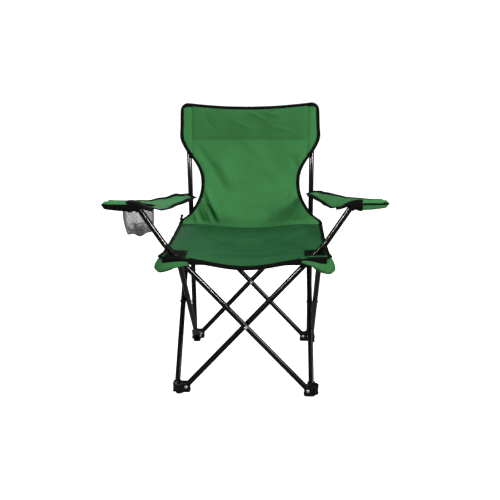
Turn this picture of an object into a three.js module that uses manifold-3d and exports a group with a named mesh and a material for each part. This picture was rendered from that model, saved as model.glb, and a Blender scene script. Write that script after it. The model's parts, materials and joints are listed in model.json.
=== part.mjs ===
// Folding camp chair: four crossed pairs of steel tube in a square, two back posts, and a cloth sling.
// Millimetres, +Z up. The origin is on the floor under the middle of the frame, and the sitter faces -Y.
import * as THREE from 'three';
import { mergeVertices } from 'three/addons/utils/BufferGeometryUtils.js';
import Module from 'manifold-3d';

const wasm = await Module();
wasm.setup();

// ---------------------------------------------------------------- driving dimensions

const CLEARANCE = 0.3;            // gap left between neighbouring pieces
const OVERLAP = 1;                // how far two shapes that are joined run into each other

// Frame square
const PIVOT_HALF = 177;           // half the distance between the two foot rivets of one side
const CORNER = 20;                // from a rivet to the corner of the square
const FRAME_HALF = PIVOT_HALF + CORNER;
const FOOT_PIVOT_Z = 18;
const TOP_PIVOT_Z = 404;
const OVERALL_Z = 800;

// Tubes
const TUBE_R = 8;
const TUBE_WALL = 1;
const TUBE_SIDES = 12;
const ROD_OFFSET = TUBE_R + CLEARANCE;    // each rod of a pair stands this far off the side's plane
const ROD_END = 6;                // tube beyond its last rivet

// Arm posts, which are the front rods carried on upwards
const ARM_LOWER = 64;             // along the rod, from the top rivet to the first bend
const ARM_BEND_X = 292;
const ARM_Z = 562;
const ARM_TIP_X = 376;
const LOWER_BEND_R = 60;
const UPPER_BEND_R = 30;
const BEND_STEPS = 4;

// Rivets
const SHANK_R = 2.5;
const RIVET_HOLE_R = 3.3;
const RIVET_HEAD_R = 4.5;
const RIVET_HEAD_Z = 2.2;
const RIVET_SIDES = 6;
const SCREW_R = 1.8;
const SCREW_HOLE_R = 2.4;
const SCREW_HEAD_R = 3.4;
const SCREW_POINT = 3;            // how far its straight stretch reaches past the post's outer face

// Moulded corner pieces
const BOSS_R = 10.3;
const BOSS_BORE_R = TUBE_R + CLEARANCE;
const EAR_WALL = 2.8;
const WEB_START = 5.8;
const WEB_END = 8;
const FOOT_EAR_R = 10;
const FOOT_FLOOR = 4;
const FOOT_BOSS_Z = 30;
const TOP_EAR_R = 9.5;
const TOP_BOSS_LOW = -15;
const TOP_BOSS_HIGH = 12;
const ARM_ROOM = 3;               // an arm post's room in its bracket starts this far below the pivots

// Posts
const POST_BOTTOM_Z = 3.5;
const POST_TOP_Z = 791;
const CAP_FLANGE = 2.5;
const CAP_PLUG = 12;
const CAP_RIM = 0.6;              // height of the cap's straight edge, as a share of its flange
const CAP_CROWN = 0.7;            // radius of its flat top, as a share of the tube's

// Cloth
const CLOTH = 2.5;                // thickness of a cloth layer in this model
const SEAT_Z = 418;               // underside of the seat at its corners
const SEAT_HALF_X = 232;
const SEAT_FRONT_Y = -225;
const SEAT_REAR_Y = 158;
const SEAT_STRIP_Y = -165;        // the strip in front of this stays level over the front brackets
const SEAT_SPLIT_Y = (SEAT_STRIP_Y + SEAT_REAR_Y) / 2;      // where the seat doubles over when folded
const SEAT_DRAW_IN = 3;           // how far its sides curve in
const SEAT_LEVEL_X = 152;         // level outside this, over the rods
const SEAT_SAG_FRONT = 27;
const SEAT_SAG = 42;
const SEAT_SAG_REAR = 12;
const SEAT_ROW = 40;              // longest facet along the seat
const BACK_Y = 184;               // front of the back panel at the posts
const BACK_LOW_Y = 164;           // and at its lower edge
const BACK_LOW_Z = 424;
const SLEEVE_Z = 690;             // lower end of the two post sleeves
const BACK_UPRIGHT_Z = 620;       // the back is level with the posts above this
const WAIST_Z = 550;
const WAIST_HALF = 160;
const BACK_HALF_TOP = 218;
const BACK_HALF_LOW = 232;
const BACK_FLARE = 2.2;           // how sharply the back widens below its waist
const BINDING = 6;
const BAND_INSET = 16;            // from a post to the end of the doubled band at the head
const POCKET_DROP = 46;
const POCKET_INNER_X = 158;
const POCKET_GAP = 2;             // below the seat
const POCKET_INSET = 1.5;         // inside the seat's outline
const PATCH_X = 190;              // middle of the corner patch
const PATCH_Y = -186;
const PATCH_WIDTH = 60;
const PATCH_DEPTH = 62;
const PATCH_THICK = 1.5;
const POST_SLOT = 22;             // slot for the arm post, between the middles of its round ends
const LOOSE_FIT = 1.2;            // room round a tube where it passes through cloth
const POST_SLOT_R = TUBE_R + LOOSE_FIT;

// Arm pads
const PAD_FRONT_Y = -214;
const PAD_REAR_Y = 225;
const PAD_FRONT_Z = 574.5;
const PAD_REAR_Z = 510;
const PAD_TIP_X = 388;
const PAD_INNER_FRONT_X = 264;
const PAD_INNER_REAR_X = 176;
const PAD_WING_Y = -112;          // the full-width wing ends here
const PAD_WING_END_Y = -30;       // and has narrowed to the strap here
const PAD_STRAP_FRONT_X = 290;
const PAD_STRAP_REAR_X = 214;
const PAD_SLEEVE_END = 22;        // the tube sleeve stops this far outside the post's bend
const PAD_TIP_ROOM = 2;           // between the cap on the tube and the sleeve's end

// Cup holder, hung in the left arm pad
const CUP_X = -305;
const CUP_Y = -124;
const CUP_R = 42;
const CUP_DEPTH = 92;
const CUP_TOP_Z = 553.5;
const CUP_WALL = 1.5;
const CUP_TAPER = 13;             // the bag narrows over this height above its bottom
const CUP_BOTTOM = 0.82;          // radius of its bottom, as a share of the mouth's
const CUP_RIM = 10;               // height of the rim above the bag
const CUP_RIM_IN = 2;
const CUP_RIM_OUT = 2.6;
const CUP_SIDES = 20;

const REACH = 1000;               // longer than any piece, for cutters that run right through

const FOLD_SIDES = ['front', 'right', 'rear', 'left'];      // each a quarter turn on from the last
const CORNERS = ['front_left', 'front_right', 'rear_right', 'rear_left'];
const QUARTER = Math.PI / 2;

const lean = Math.atan2(2 * PIVOT_HALF, TOP_PIVOT_Z - FOOT_PIVOT_Z);      // rod from upright
const rodLength = Math.hypot(2 * PIVOT_HALF, TOP_PIVOT_Z - FOOT_PIVOT_Z);

// ---------------------------------------------------------------- materials

const FINISHES = {
  steel: { color: 0x17120f, roughness: 0.28, metalness: 0.6 },
  plastic: { color: 0x15161a, roughness: 0.6, metalness: 0 },
  rivet: { color: 0xd8d8d4, roughness: 0.3, metalness: 1 },
  cloth: { color: 0x2e7a3c, roughness: 0.85, metalness: 0 },
  pocket: { color: 0x37924a, roughness: 0.85, metalness: 0 },
  binding: { color: 0x101716, roughness: 0.9, metalness: 0 },
  mesh: { color: 0x9a979c, roughness: 0.9, metalness: 0 },
};

const chair = new THREE.Group();

function add(parent, name, geometry, finish) {
  const mesh = new THREE.Mesh(geometry, new THREE.MeshStandardMaterial(FINISHES[finish]));
  mesh.name = name;
  parent.add(mesh);
  return mesh;
}

// ---------------------------------------------------------------- solid helpers

// A closed three.js geometry as a solid that can be joined and cut.
function solid(geometry) {
  const bare = geometry.clone();
  bare.deleteAttribute('normal');
  bare.deleteAttribute('uv');
  const merged = mergeVertices(bare, 1e-4);
  const corners = merged.index.array;
  const faces = [];
  for (let i = 0; i < corners.length; i += 3) {
    const [a, b, c] = corners.subarray(i, i + 3);
    if (a !== b && b !== c && a !== c) faces.push(a, b, c);
  }
  return new wasm.Manifold(new wasm.Mesh({
    numProp: 3,
    vertProperties: new Float32Array(merged.attributes.position.array),
    triVerts: new Uint32Array(faces),
  }));
}

function geometryOf(shape) {
  const mesh = shape.getMesh();
  const geometry = new THREE.BufferGeometry();
  geometry.setAttribute('position', new THREE.BufferAttribute(mesh.vertProperties, 3));
  geometry.setIndex(new THREE.BufferAttribute(mesh.triVerts, 1));
  geometry.computeVertexNormals();
  return geometry;
}

function block(x0, x1, y0, y1, z0, z1) {
  const geometry = new THREE.BoxGeometry(x1 - x0, y1 - y0, z1 - z0);
  return solid(geometry.translate((x0 + x1) / 2, (y0 + y1) / 2, (z0 + z1) / 2));
}

// A cylinder along Y, X or Z between two stations on that axis.
function rod(axis, radius, from, to, sides, [cx, cy, cz]) {
  const geometry = new THREE.CylinderGeometry(radius, radius, to - from, sides);
  geometry.translate(0, (from + to) / 2, 0);
  if (axis === 'x') geometry.rotateZ(-QUARTER);
  if (axis === 'z') geometry.rotateX(QUARTER);
  return solid(geometry.translate(cx, cy, cz));
}

function circle(radius, sides) {
  const points = [];
  for (let i = 0; i < sides; i += 1) {
    const turn = (2 * Math.PI * i) / sides;
    points.push(new THREE.Vector2(radius * Math.cos(turn), radius * Math.sin(turn)));
  }
  return points;
}

function tubeSection() {
  const section = new THREE.Shape(circle(TUBE_R, TUBE_SIDES));
  section.holes.push(new THREE.Path(circle(TUBE_R - TUBE_WALL, TUBE_SIDES)));
  return section;
}

// A straight tube along +Z between two heights.
function straightTube(low, high) {
  const options = { depth: high - low, bevelEnabled: false };
  return new THREE.ExtrudeGeometry(tubeSection(), options).translate(0, 0, low);
}

// A path that visits the given points in turn, with no even spacing put between them.
class PointPath extends THREE.Curve {
  constructor(points) {
    super();
    this.points = points;
  }

  getPointAt(u, target = new THREE.Vector3()) {
    const place = u * (this.points.length - 1);
    const index = Math.min(Math.floor(place), this.points.length - 2);
    return target.lerpVectors(this.points[index], this.points[index + 1], place - index);
  }

  getTangentAt(u, target = new THREE.Vector3()) {
    const index = Math.round(u * (this.points.length - 1));
    const before = this.points[Math.max(index - 1, 0)];
    const after = this.points[Math.min(index + 1, this.points.length - 1)];
    return target.subVectors(after, before).normalize();
  }
}

// Replaces a corner of a path by an arc of the given radius.
function roundCorner(before, corner, after, radius) {
  const back = new THREE.Vector3().subVectors(before, corner).normalize();
  const on = new THREE.Vector3().subVectors(after, corner).normalize();
  const half = back.angleTo(on) / 2;
  const cut = radius / Math.tan(half);
  const centre = back.clone().add(on).normalize().multiplyScalar(radius / Math.sin(half)).add(corner);
  const start = back.clone().multiplyScalar(cut).add(corner).sub(centre);
  const end = on.clone().multiplyScalar(cut).add(corner).sub(centre);
  const turn = start.angleTo(end);
  const points = [];
  for (let i = 0; i <= BEND_STEPS; i += 1) {
    const part = i / BEND_STEPS;
    const a = Math.sin((1 - part) * turn) / Math.sin(turn);
    const b = Math.sin(part * turn) / Math.sin(turn);
    points.push(start.clone().multiplyScalar(a).addScaledVector(end, b).add(centre));
  }
  return points;
}

// ---------------------------------------------------------------- rods

// The outer rod of a side leans to -X and the inner one to +X. Both are drawn upright on their foot rivet.
function drillRod(geometry) {
  let shape = solid(geometry);
  for (const height of [0, rodLength / 2, rodLength]) {
    shape = shape.subtract(rod('y', RIVET_HOLE_R, -2 * TUBE_R, 2 * TUBE_R, RIVET_SIDES, [0, 0, height]));
  }
  return geometryOf(shape);
}

function plainRod() {
  return drillRod(straightTube(-ROD_END, rodLength + ROD_END));
}

// The arm post bends towards upright above the seat, then outwards into the arm pad's sleeve.
function armRod(side) {
  const inRodFrame = (x, z) => {
    const along = new THREE.Vector3(x + PIVOT_HALF, 0, z - FOOT_PIVOT_Z);
    along.applyAxisAngle(new THREE.Vector3(0, 1, 0), -lean);
    return new THREE.Vector3(-side * along.x, 0, along.z);
  };
  const start = new THREE.Vector3(0, 0, -ROD_END);
  const lower = new THREE.Vector3(0, 0, rodLength + ARM_LOWER);
  const upper = inRodFrame(ARM_BEND_X, ARM_Z);
  const tip = inRodFrame(ARM_TIP_X, ARM_Z);
  const path = new PointPath([
    start,
    ...roundCorner(start, lower, upper, LOWER_BEND_R),
    ...roundCorner(lower, upper, tip, UPPER_BEND_R),
    tip,
  ]);
  const options = { steps: path.points.length - 1, extrudePath: path, bevelEnabled: false };
  return drillRod(new THREE.ExtrudeGeometry(tubeSection(), options));
}

// A round-headed rivet along Y through the given span.
function rivet(from, to) {
  const low = from - CLEARANCE;
  const high = to + CLEARANCE;
  const crown = 0.65 * RIVET_HEAD_R;
  return new THREE.LatheGeometry([
    new THREE.Vector2(0, low - RIVET_HEAD_Z),
    new THREE.Vector2(crown, low - 0.8 * RIVET_HEAD_Z),
    new THREE.Vector2(RIVET_HEAD_R, low),
    new THREE.Vector2(SHANK_R, low),
    new THREE.Vector2(SHANK_R, high),
    new THREE.Vector2(RIVET_HEAD_R, high),
    new THREE.Vector2(crown, high + 0.8 * RIVET_HEAD_Z),
    new THREE.Vector2(0, high + RIVET_HEAD_Z),
  ], RIVET_SIDES);
}

const crossZ = (FOOT_PIVOT_Z + TOP_PIVOT_Z) / 2;

FOLD_SIDES.forEach((side, index) => {
  const frame = new THREE.Group();
  frame.rotation.z = index * QUARTER;
  chair.add(frame);
  const isFront = side === 'front';
  const outer = add(frame, `${side}_outer_rod`, isFront ? armRod(1) : plainRod(), 'steel');
  outer.position.set(PIVOT_HALF, -FRAME_HALF - ROD_OFFSET, FOOT_PIVOT_Z);
  outer.rotation.y = -lean;
  const inner = add(frame, `${side}_inner_rod`, isFront ? armRod(-1) : plainRod(), 'steel');
  inner.position.set(-PIVOT_HALF, -FRAME_HALF + ROD_OFFSET, FOOT_PIVOT_Z);
  inner.rotation.y = lean;
  const across = ROD_OFFSET + TUBE_R;
  add(frame, `${side}_cross_rivet`, rivet(-across, across), 'rivet').position.set(0, -FRAME_HALF, crossZ);
});

// ---------------------------------------------------------------- feet, brackets and sliders

// A corner piece has its boss on the corner, one fork along +X and one along +Y. The middle of the X fork
// stands off the frame's plane by `offset`. The Y fork is the same fork turned a quarter.
function forkOutline(earRadius, low, pivotZ) {
  const outline = new THREE.Shape();
  outline.moveTo(WEB_START, low);
  outline.lineTo(CORNER, low);
  outline.absarc(CORNER, low + earRadius, earRadius, -QUARTER, 0, false);
  outline.absarc(CORNER, pivotZ, earRadius, 0, QUARTER, false);
  outline.lineTo(WEB_START, pivotZ + earRadius);
  outline.closePath();
  return outline;
}

function fork(offset, outline) {
  const half = BOSS_BORE_R + EAR_WALL;
  const options = { depth: 2 * half, bevelEnabled: false, curveSegments: 3 };
  const geometry = new THREE.ExtrudeGeometry(outline, options);
  return solid(geometry.rotateX(QUARTER).translate(0, offset + half, 0));
}

function twice(shape) {
  return shape.add(shape.rotate([0, 0, 90]));
}

function slot(offset, startX, low) {
  return block(startX, REACH, offset - BOSS_BORE_R, offset + BOSS_BORE_R, low, REACH);
}

function rivetHole(offset, z) {
  return rod('y', RIVET_HOLE_R, offset - 2 * TUBE_R, offset + 2 * TUBE_R, RIVET_SIDES, [CORNER, 0, z]);
}

function foot() {
  const outline = forkOutline(FOOT_EAR_R, 0, FOOT_PIVOT_Z);
  const boss = rod('z', BOSS_R, 0, FOOT_BOSS_Z, TUBE_SIDES, [0, 0, 0]);
  const socket = rod('z', BOSS_BORE_R, POST_BOTTOM_Z - CLEARANCE, 2 * FOOT_BOSS_Z, TUBE_SIDES, [0, 0, 0]);
  const soleOptions = { depth: FOOT_FLOOR, bevelEnabled: false, curveSegments: 2 };
  const sole = new THREE.ExtrudeGeometry(forkSole(), soleOptions);
  return twice(fork(ROD_OFFSET, outline))
    .subtract(twice(slot(ROD_OFFSET, WEB_END, FOOT_FLOOR)))
    .add(twice(solid(sole)))
    .add(boss)
    .subtract(twice(rivetHole(ROD_OFFSET, FOOT_PIVOT_Z)))
    .subtract(socket)
    .subtract(screwHole());
}

// The sole under one fork, rounded at its free end.
function forkSole() {
  const half = BOSS_BORE_R + EAR_WALL;
  const round = 5;
  const end = CORNER + FOOT_EAR_R;
  const outline = new THREE.Shape();
  outline.moveTo(0, ROD_OFFSET - half);
  outline.lineTo(end - round, ROD_OFFSET - half);
  outline.absarc(end - round, ROD_OFFSET - half + round, round, -QUARTER, 0, false);
  outline.lineTo(end, ROD_OFFSET + half - round);
  outline.absarc(end - round, ROD_OFFSET + half - round, round, 0, QUARTER, false);
  outline.lineTo(0, ROD_OFFSET + half);
  outline.closePath();
  return outline;
}

// Top pieces: the forks are open above and below. `through` names the fork that the arm post runs through.
function topPiece(through) {
  const outline = forkOutline(TOP_EAR_R, -TOP_EAR_R, 0);
  let shape = twice(fork(-ROD_OFFSET, outline));
  shape = shape.subtract(twice(slot(-ROD_OFFSET, WEB_END, -REACH)));
  shape = shape.add(rod('z', BOSS_R, TOP_BOSS_LOW, TOP_BOSS_HIGH, TUBE_SIDES, [0, 0, 0]));
  if (through) {
    const room = slot(-ROD_OFFSET, -2 * BOSS_R, -ARM_ROOM);
    shape = shape.subtract(through === 'x' ? room : room.rotate([0, 0, 90]));
  }
  return shape
    .subtract(twice(rivetHole(-ROD_OFFSET, 0)))
    .subtract(rod('z', BOSS_BORE_R, -REACH, REACH, TUBE_SIDES, [0, 0, 0]));
}

function screwHole() {
  const hole = new THREE.CylinderGeometry(SCREW_HOLE_R, SCREW_HOLE_R, 2 * BOSS_R, RIVET_SIDES);
  hole.translate(0, -BOSS_R, 0);
  return solid(hole.rotateZ(-QUARTER / 2).translate(0, 0, FOOT_PIVOT_Z));
}

// The screw through the boss wall into the post, pointing along +Y with its head at negative Y.
function postScrew() {
  const wall = BOSS_R + CLEARANCE;
  return new THREE.LatheGeometry([
    new THREE.Vector2(0, -wall - SCREW_R),
    new THREE.Vector2(0.75 * SCREW_HEAD_R, -wall - 0.8 * SCREW_R),
    new THREE.Vector2(SCREW_HEAD_R, -wall),
    new THREE.Vector2(SCREW_R, -wall),
    new THREE.Vector2(SCREW_R, -TUBE_R + SCREW_POINT),
    new THREE.Vector2(0, -TUBE_R + 1.5 * SCREW_POINT),
  ], RIVET_SIDES);
}

const footGeometry = geometryOf(foot());
const sliderGeometry = geometryOf(topPiece(null));
const bracketGeometry = { front_left: geometryOf(topPiece('x')), front_right: geometryOf(topPiece('y')) };

function addCorner(index) {
  const corner = new THREE.Group();
  corner.rotation.z = index * QUARTER;
  corner.position.set(...cornerPlace(index));
  chair.add(corner);
  return corner;
}

function cornerPlace(index) {
  const place = new THREE.Vector3(-FRAME_HALF, -FRAME_HALF, 0);
  place.applyAxisAngle(new THREE.Vector3(0, 0, 1), index * QUARTER);
  return [place.x, place.y, place.z];
}

// The two rivets of a corner piece: `x` along the X fork's pin line and `y` along the Y fork's.
function addForkRivets(corner, name, level, offset, z) {
  const half = BOSS_BORE_R + EAR_WALL;
  const geometry = rivet(offset - half, offset + half);
  add(corner, `${name}_${level}_rivet_a`, geometry, 'rivet').position.set(CORNER, 0, z);
  const turned = add(corner, `${name}_${level}_rivet_b`, geometry.clone().rotateZ(QUARTER), 'rivet');
  turned.position.set(0, CORNER, z);
}

CORNERS.forEach((name, index) => {
  const corner = addCorner(index);
  const isRear = name.startsWith('rear');
  add(corner, `${name}_foot`, footGeometry.clone(), 'plastic');
  addForkRivets(corner, name, 'foot', ROD_OFFSET, FOOT_PIVOT_Z);
  const top = isRear ? sliderGeometry : bracketGeometry[name];
  const kind = isRear ? 'slider' : 'bracket';
  add(corner, `${name}_${kind}`, top.clone(), 'plastic').position.z = TOP_PIVOT_Z;
  addForkRivets(corner, name, 'top', -ROD_OFFSET, TOP_PIVOT_Z);
});

// ---------------------------------------------------------------- back posts, caps and screws

function post() {
  const shape = solid(straightTube(POST_BOTTOM_Z, POST_TOP_Z));
  return geometryOf(shape.subtract(screwHole()));
}

// A plug with a flange, for the end of a tube that runs along +Z.
function endCap() {
  const plugR = TUBE_R - TUBE_WALL - CLEARANCE;
  return new THREE.LatheGeometry([
    new THREE.Vector2(0, -CAP_PLUG),
    new THREE.Vector2(plugR, -CAP_PLUG),
    new THREE.Vector2(plugR, CLEARANCE),
    new THREE.Vector2(TUBE_R, CLEARANCE),
    new THREE.Vector2(TUBE_R, CAP_RIM * CAP_FLANGE),
    new THREE.Vector2(CAP_CROWN * TUBE_R, CAP_FLANGE),
    new THREE.Vector2(0, CAP_FLANGE),
  ], TUBE_SIDES).rotateX(QUARTER);
}

for (const side of [-1, 1]) {
  const word = side < 0 ? 'left' : 'right';
  const index = side < 0 ? 3 : 2;
  const corner = addCorner(index);
  add(corner, `${word}_back_post`, post(), 'steel');
  const screw = add(corner, `${word}_post_screw`, postScrew().rotateZ(-QUARTER / 2), 'rivet');
  screw.position.z = FOOT_PIVOT_Z;
  add(corner, `${word}_post_cap`, endCap(), 'plastic').position.z = POST_TOP_Z;
  const cap = add(chair, `${word}_arm_cap`, endCap().rotateY(side * QUARTER), 'plastic');
  cap.position.set(side * ARM_TIP_X, -FRAME_HALF + side * ROD_OFFSET, ARM_Z);
}

// ---------------------------------------------------------------- cloth

// A closed slab whose two faces are a grid. `place` takes (u from -1 to 1, v from 0 to 1, w -1 or 1).
function slab(across, along, place) {
  const geometry = new THREE.BoxGeometry(2, 2, 2, across, along, 1);
  const spots = geometry.attributes.position;
  for (let i = 0; i < spots.count; i += 1) {
    const [x, y, z] = place(spots.getX(i), (spots.getY(i) + 1) / 2, spots.getZ(i));
    spots.setXYZ(i, x, y, z);
  }
  return geometry;
}

const mix = THREE.MathUtils.lerp;
const smooth = THREE.MathUtils.smoothstep;

// Height of the seat's lower face: level over the brackets, hanging between them.
function seatHeight(x, y) {
  const across = Math.abs(x) < SEAT_LEVEL_X ? Math.cos((QUARTER * x) / SEAT_LEVEL_X) ** 2 : 0;
  const fromFront = mix(SEAT_SAG_FRONT, SEAT_SAG, smooth(y, SEAT_FRONT_Y, SEAT_SPLIT_Y));
  return SEAT_Z - across * mix(fromFront, SEAT_SAG_REAR, smooth(y, SEAT_SPLIT_Y, SEAT_REAR_Y));
}

// The seat is drawn in at the middle of its sides.
function seatHalfX(y) {
  const part = Math.min((y - SEAT_FRONT_Y) / (SEAT_REAR_Y - SEAT_FRONT_Y), 1);
  return SEAT_HALF_X - SEAT_DRAW_IN * Math.sin(Math.PI * part);
}

function seatSlab(y0, y1, low, high, inset) {
  const rows = Math.ceil((y1 - y0) / SEAT_ROW);
  return slab(12, rows, (u, v, w) => {
    const y = mix(y0, y1, v);
    const x = u * (seatHalfX(y) - inset);
    return [x, y, seatHeight(x, y) + (w < 0 ? low : high)];
  });
}

// Slot for an arm post through the cloth above its bracket, long enough for the post to swing upright.
function armPostSlot(side) {
  const y = -FRAME_HALF + side * ROD_OFFSET;
  const [inner, outer] = [PATCH_X - POST_SLOT / 2, PATCH_X + POST_SLOT / 2];
  const low = SEAT_Z - POCKET_DROP;
  const high = SEAT_Z + POCKET_DROP;
  const ends = [inner, outer].map((x) => rod('z', POST_SLOT_R, low, high, TUBE_SIDES, [side * x, y, 0]));
  const [x0, x1] = side < 0 ? [-outer, -inner] : [inner, outer];
  return ends[0].add(ends[1]).add(block(x0, x1, y - POST_SLOT_R, y + POST_SLOT_R, low, high));
}

const hemY = SEAT_FRONT_Y + BINDING;
const strip = solid(seatSlab(hemY + CLEARANCE, SEAT_STRIP_Y - CLEARANCE, 0, CLOTH, BINDING));
const cutStrip = strip.subtract(armPostSlot(-1)).subtract(armPostSlot(1));
add(chair, 'seat_front_strip', geometryOf(cutStrip), 'cloth');
const halfway = [SEAT_STRIP_Y, SEAT_SPLIT_Y - CLEARANCE];
add(chair, 'seat_panel_front', seatSlab(...halfway, 0, CLOTH, BINDING), 'cloth');
add(chair, 'seat_panel_rear', seatSlab(SEAT_SPLIT_Y, SEAT_REAR_Y, 0, CLOTH, BINDING), 'cloth');
add(chair, 'seat_front_hem', seatSlab(SEAT_FRONT_Y, hemY, -1, CLOTH + 1, 0), 'binding');

// Half width of the back panel: full at the sleeves, drawn in to a waist, and wide again at the seat.
function backHalfX(z) {
  if (z > WAIST_Z) {
    const up = Math.min((z - WAIST_Z) / (SLEEVE_Z - WAIST_Z), 1);
    return BACK_HALF_TOP - (BACK_HALF_TOP - WAIST_HALF) * Math.cos(QUARTER * up) ** 2;
  }
  const down = Math.min((WAIST_Z - z) / (WAIST_Z - BACK_LOW_Z), 1);
  return WAIST_HALF + (BACK_HALF_LOW - WAIST_HALF) * down ** BACK_FLARE;
}

function backY(z) {
  return mix(BACK_LOW_Y, BACK_Y, smooth(z, BACK_LOW_Z, BACK_UPRIGHT_Z));
}

function backSlab(z0, z1, front, rear, rows, halfX = backHalfX) {
  return slab(6, rows, (u, v, w) => {
    const z = mix(z0, z1, v);
    return [u * halfX(z), backY(z) + (w < 0 ? rear : front), z];
  });
}

// The sleeve that a post runs up into, closed over its top.
function postSleeve(side) {
  const centre = [side * FRAME_HALF, FRAME_HALF, 0];
  const outside = rod('z', TUBE_R + CLEARANCE + CLOTH, SLEEVE_Z, OVERALL_Z, TUBE_SIDES, centre);
  const inside = rod('z', TUBE_R + 2 * CLEARANCE, 0, OVERALL_Z - CLOTH, TUBE_SIDES, centre);
  return [outside, inside];
}

// The back in two stretches, up to the sleeves and past them, between two distances from its edge.
function backShape(fromEdge, front, rear) {
  const lower = backSlab(BACK_LOW_Z, SLEEVE_Z, front, rear, 8, (z) => backHalfX(z) - fromEdge);
  const upperHalfX = () => BACK_HALF_TOP - fromEdge;
  const upper = backSlab(SLEEVE_Z - OVERLAP, OVERALL_Z - fromEdge, front, rear, 1, upperHalfX);
  return solid(lower).add(solid(upper));
}

function backPanel() {
  let shape = backShape(BINDING, 0, CLOTH);
  for (const side of [-1, 1]) {
    const [outside, inside] = postSleeve(side);
    shape = shape.add(outside).subtract(inside);
  }
  return geometryOf(shape);
}

// Edge tape round the two sides and the top of the back.
function backBinding() {
  const hollow = backShape(BINDING - CLEARANCE, -CLOTH, 2 * CLOTH);
  const below = block(-BACK_HALF_TOP, BACK_HALF_TOP, 0, FRAME_HALF, 0, BACK_LOW_Z + OVERLAP);
  let shape = backShape(0, 0, CLOTH).subtract(hollow).subtract(below);
  for (const side of [-1, 1]) {
    const centre = [side * FRAME_HALF, FRAME_HALF, 0];
    const room = rod('z', TUBE_R + 3 * CLEARANCE + CLOTH, 0, REACH, TUBE_SIDES, centre);
    shape = shape.subtract(room);
  }
  return geometryOf(shape);
}

add(chair, 'back_panel', backPanel(), 'cloth');
add(chair, 'back_binding', backBinding(), 'binding');
const bandHalf = () => FRAME_HALF - BAND_INSET;
const band = backSlab(SLEEVE_Z, OVERALL_Z - BINDING, -CLOTH, -CLEARANCE, 2, bandHalf);
add(chair, 'head_band', band, 'cloth');

// Corner pockets: an L of cloth hanging below the seat's front corner, round the bracket.
function pocket(side) {
  const top = SEAT_Z - POCKET_GAP;
  const low = SEAT_Z - POCKET_DROP;
  const outX = SEAT_HALF_X - POCKET_INSET;
  const outY = SEAT_FRONT_Y + POCKET_INSET;
  const front = side < 0
    ? block(-outX, -POCKET_INNER_X, outY, outY + CLOTH, low, top)
    : block(POCKET_INNER_X, outX, outY, outY + CLOTH, low, top);
  const flank = side < 0
    ? block(-outX, -outX + CLOTH, outY, -POCKET_INNER_X, low, top)
    : block(outX - CLOTH, outX, outY, -POCKET_INNER_X, low, top);
  return geometryOf(front.add(flank));
}

add(chair, 'front_left_pocket', pocket(-1), 'pocket');
add(chair, 'front_right_pocket', pocket(1), 'pocket');

// A reinforcing patch on the seat where the arm post comes through.
function cornerPatch(side) {
  const low = SEAT_Z + CLOTH + CLEARANCE;
  const geometry = new THREE.BoxGeometry(PATCH_WIDTH, PATCH_DEPTH, PATCH_THICK);
  geometry.translate(side * PATCH_X, PATCH_Y, low + PATCH_THICK / 2);
  return geometryOf(solid(geometry).subtract(armPostSlot(side)));
}

add(chair, 'left_corner_patch', cornerPatch(-1), 'binding');
add(chair, 'right_corner_patch', cornerPatch(1), 'binding');

// ---------------------------------------------------------------- arm pads and cup holder

// Outline of a pad, as distances from the chair's middle: a wing on the tube, then a strap to the post.
function padInner(y) {
  return mix(PAD_INNER_FRONT_X, PAD_INNER_REAR_X, (y - PAD_FRONT_Y) / (PAD_REAR_Y - PAD_FRONT_Y));
}

function padOuter(y) {
  const along = (y - PAD_WING_END_Y) / (PAD_REAR_Y - PAD_WING_END_Y);
  const strap = mix(PAD_STRAP_FRONT_X, PAD_STRAP_REAR_X, along);
  return mix(PAD_TIP_X, strap, smooth(y, PAD_WING_Y, PAD_WING_END_Y));
}

function padZ(y) {
  return mix(PAD_FRONT_Z, PAD_REAR_Z, (y - PAD_FRONT_Y) / (PAD_REAR_Y - PAD_FRONT_Y));
}

function armPad(side) {
  const tubeY = -FRAME_HALF + side * ROD_OFFSET;
  const sheet = slab(4, 14, (u, v, w) => {
    const y = mix(PAD_FRONT_Y, PAD_REAR_Y, v);
    const x = mix(padInner(y), padOuter(y), (1 + side * u) / 2);
    return [side * x, y, padZ(y) + (w < 0 ? -CLOTH : 0)];
  });
  const sleeveR = TUBE_R + CLEARANCE + CLOTH;
  const sleeveEnd = ARM_BEND_X + PAD_SLEEVE_END;
  const [from, to] = side < 0 ? [-PAD_TIP_X, -sleeveEnd] : [sleeveEnd, PAD_TIP_X];
  const sleeve = rod('x', sleeveR, from, to, TUBE_SIDES, [0, tubeY, ARM_Z]);
  const bore = rod('x', TUBE_R + 2 * CLEARANCE, -REACH, REACH, TUBE_SIDES, [0, tubeY, ARM_Z]);
  const postRoom = rod('z', POST_SLOT_R, 0, REACH, TUBE_SIDES, [side * FRAME_HALF, FRAME_HALF, 0]);
  let shape = solid(sheet).add(sleeve).subtract(bore.intersect(tubeLength(side))).subtract(postRoom);
  if (side < 0) shape = shape.subtract(cupRoom());
  return geometryOf(shape);
}

// The stretch of the sleeve's bore that the tube and its cap fill.
function tubeLength(side) {
  const end = ARM_TIP_X + CAP_FLANGE + PAD_TIP_ROOM;
  return side < 0 ? block(-end, 0, -REACH, 0, 0, REACH) : block(0, end, -REACH, 0, 0, REACH);
}

function cupRoom() {
  return rod('z', CUP_R + CUP_RIM_OUT + LOOSE_FIT, 0, REACH, CUP_SIDES, [CUP_X, CUP_Y, 0]);
}

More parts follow.
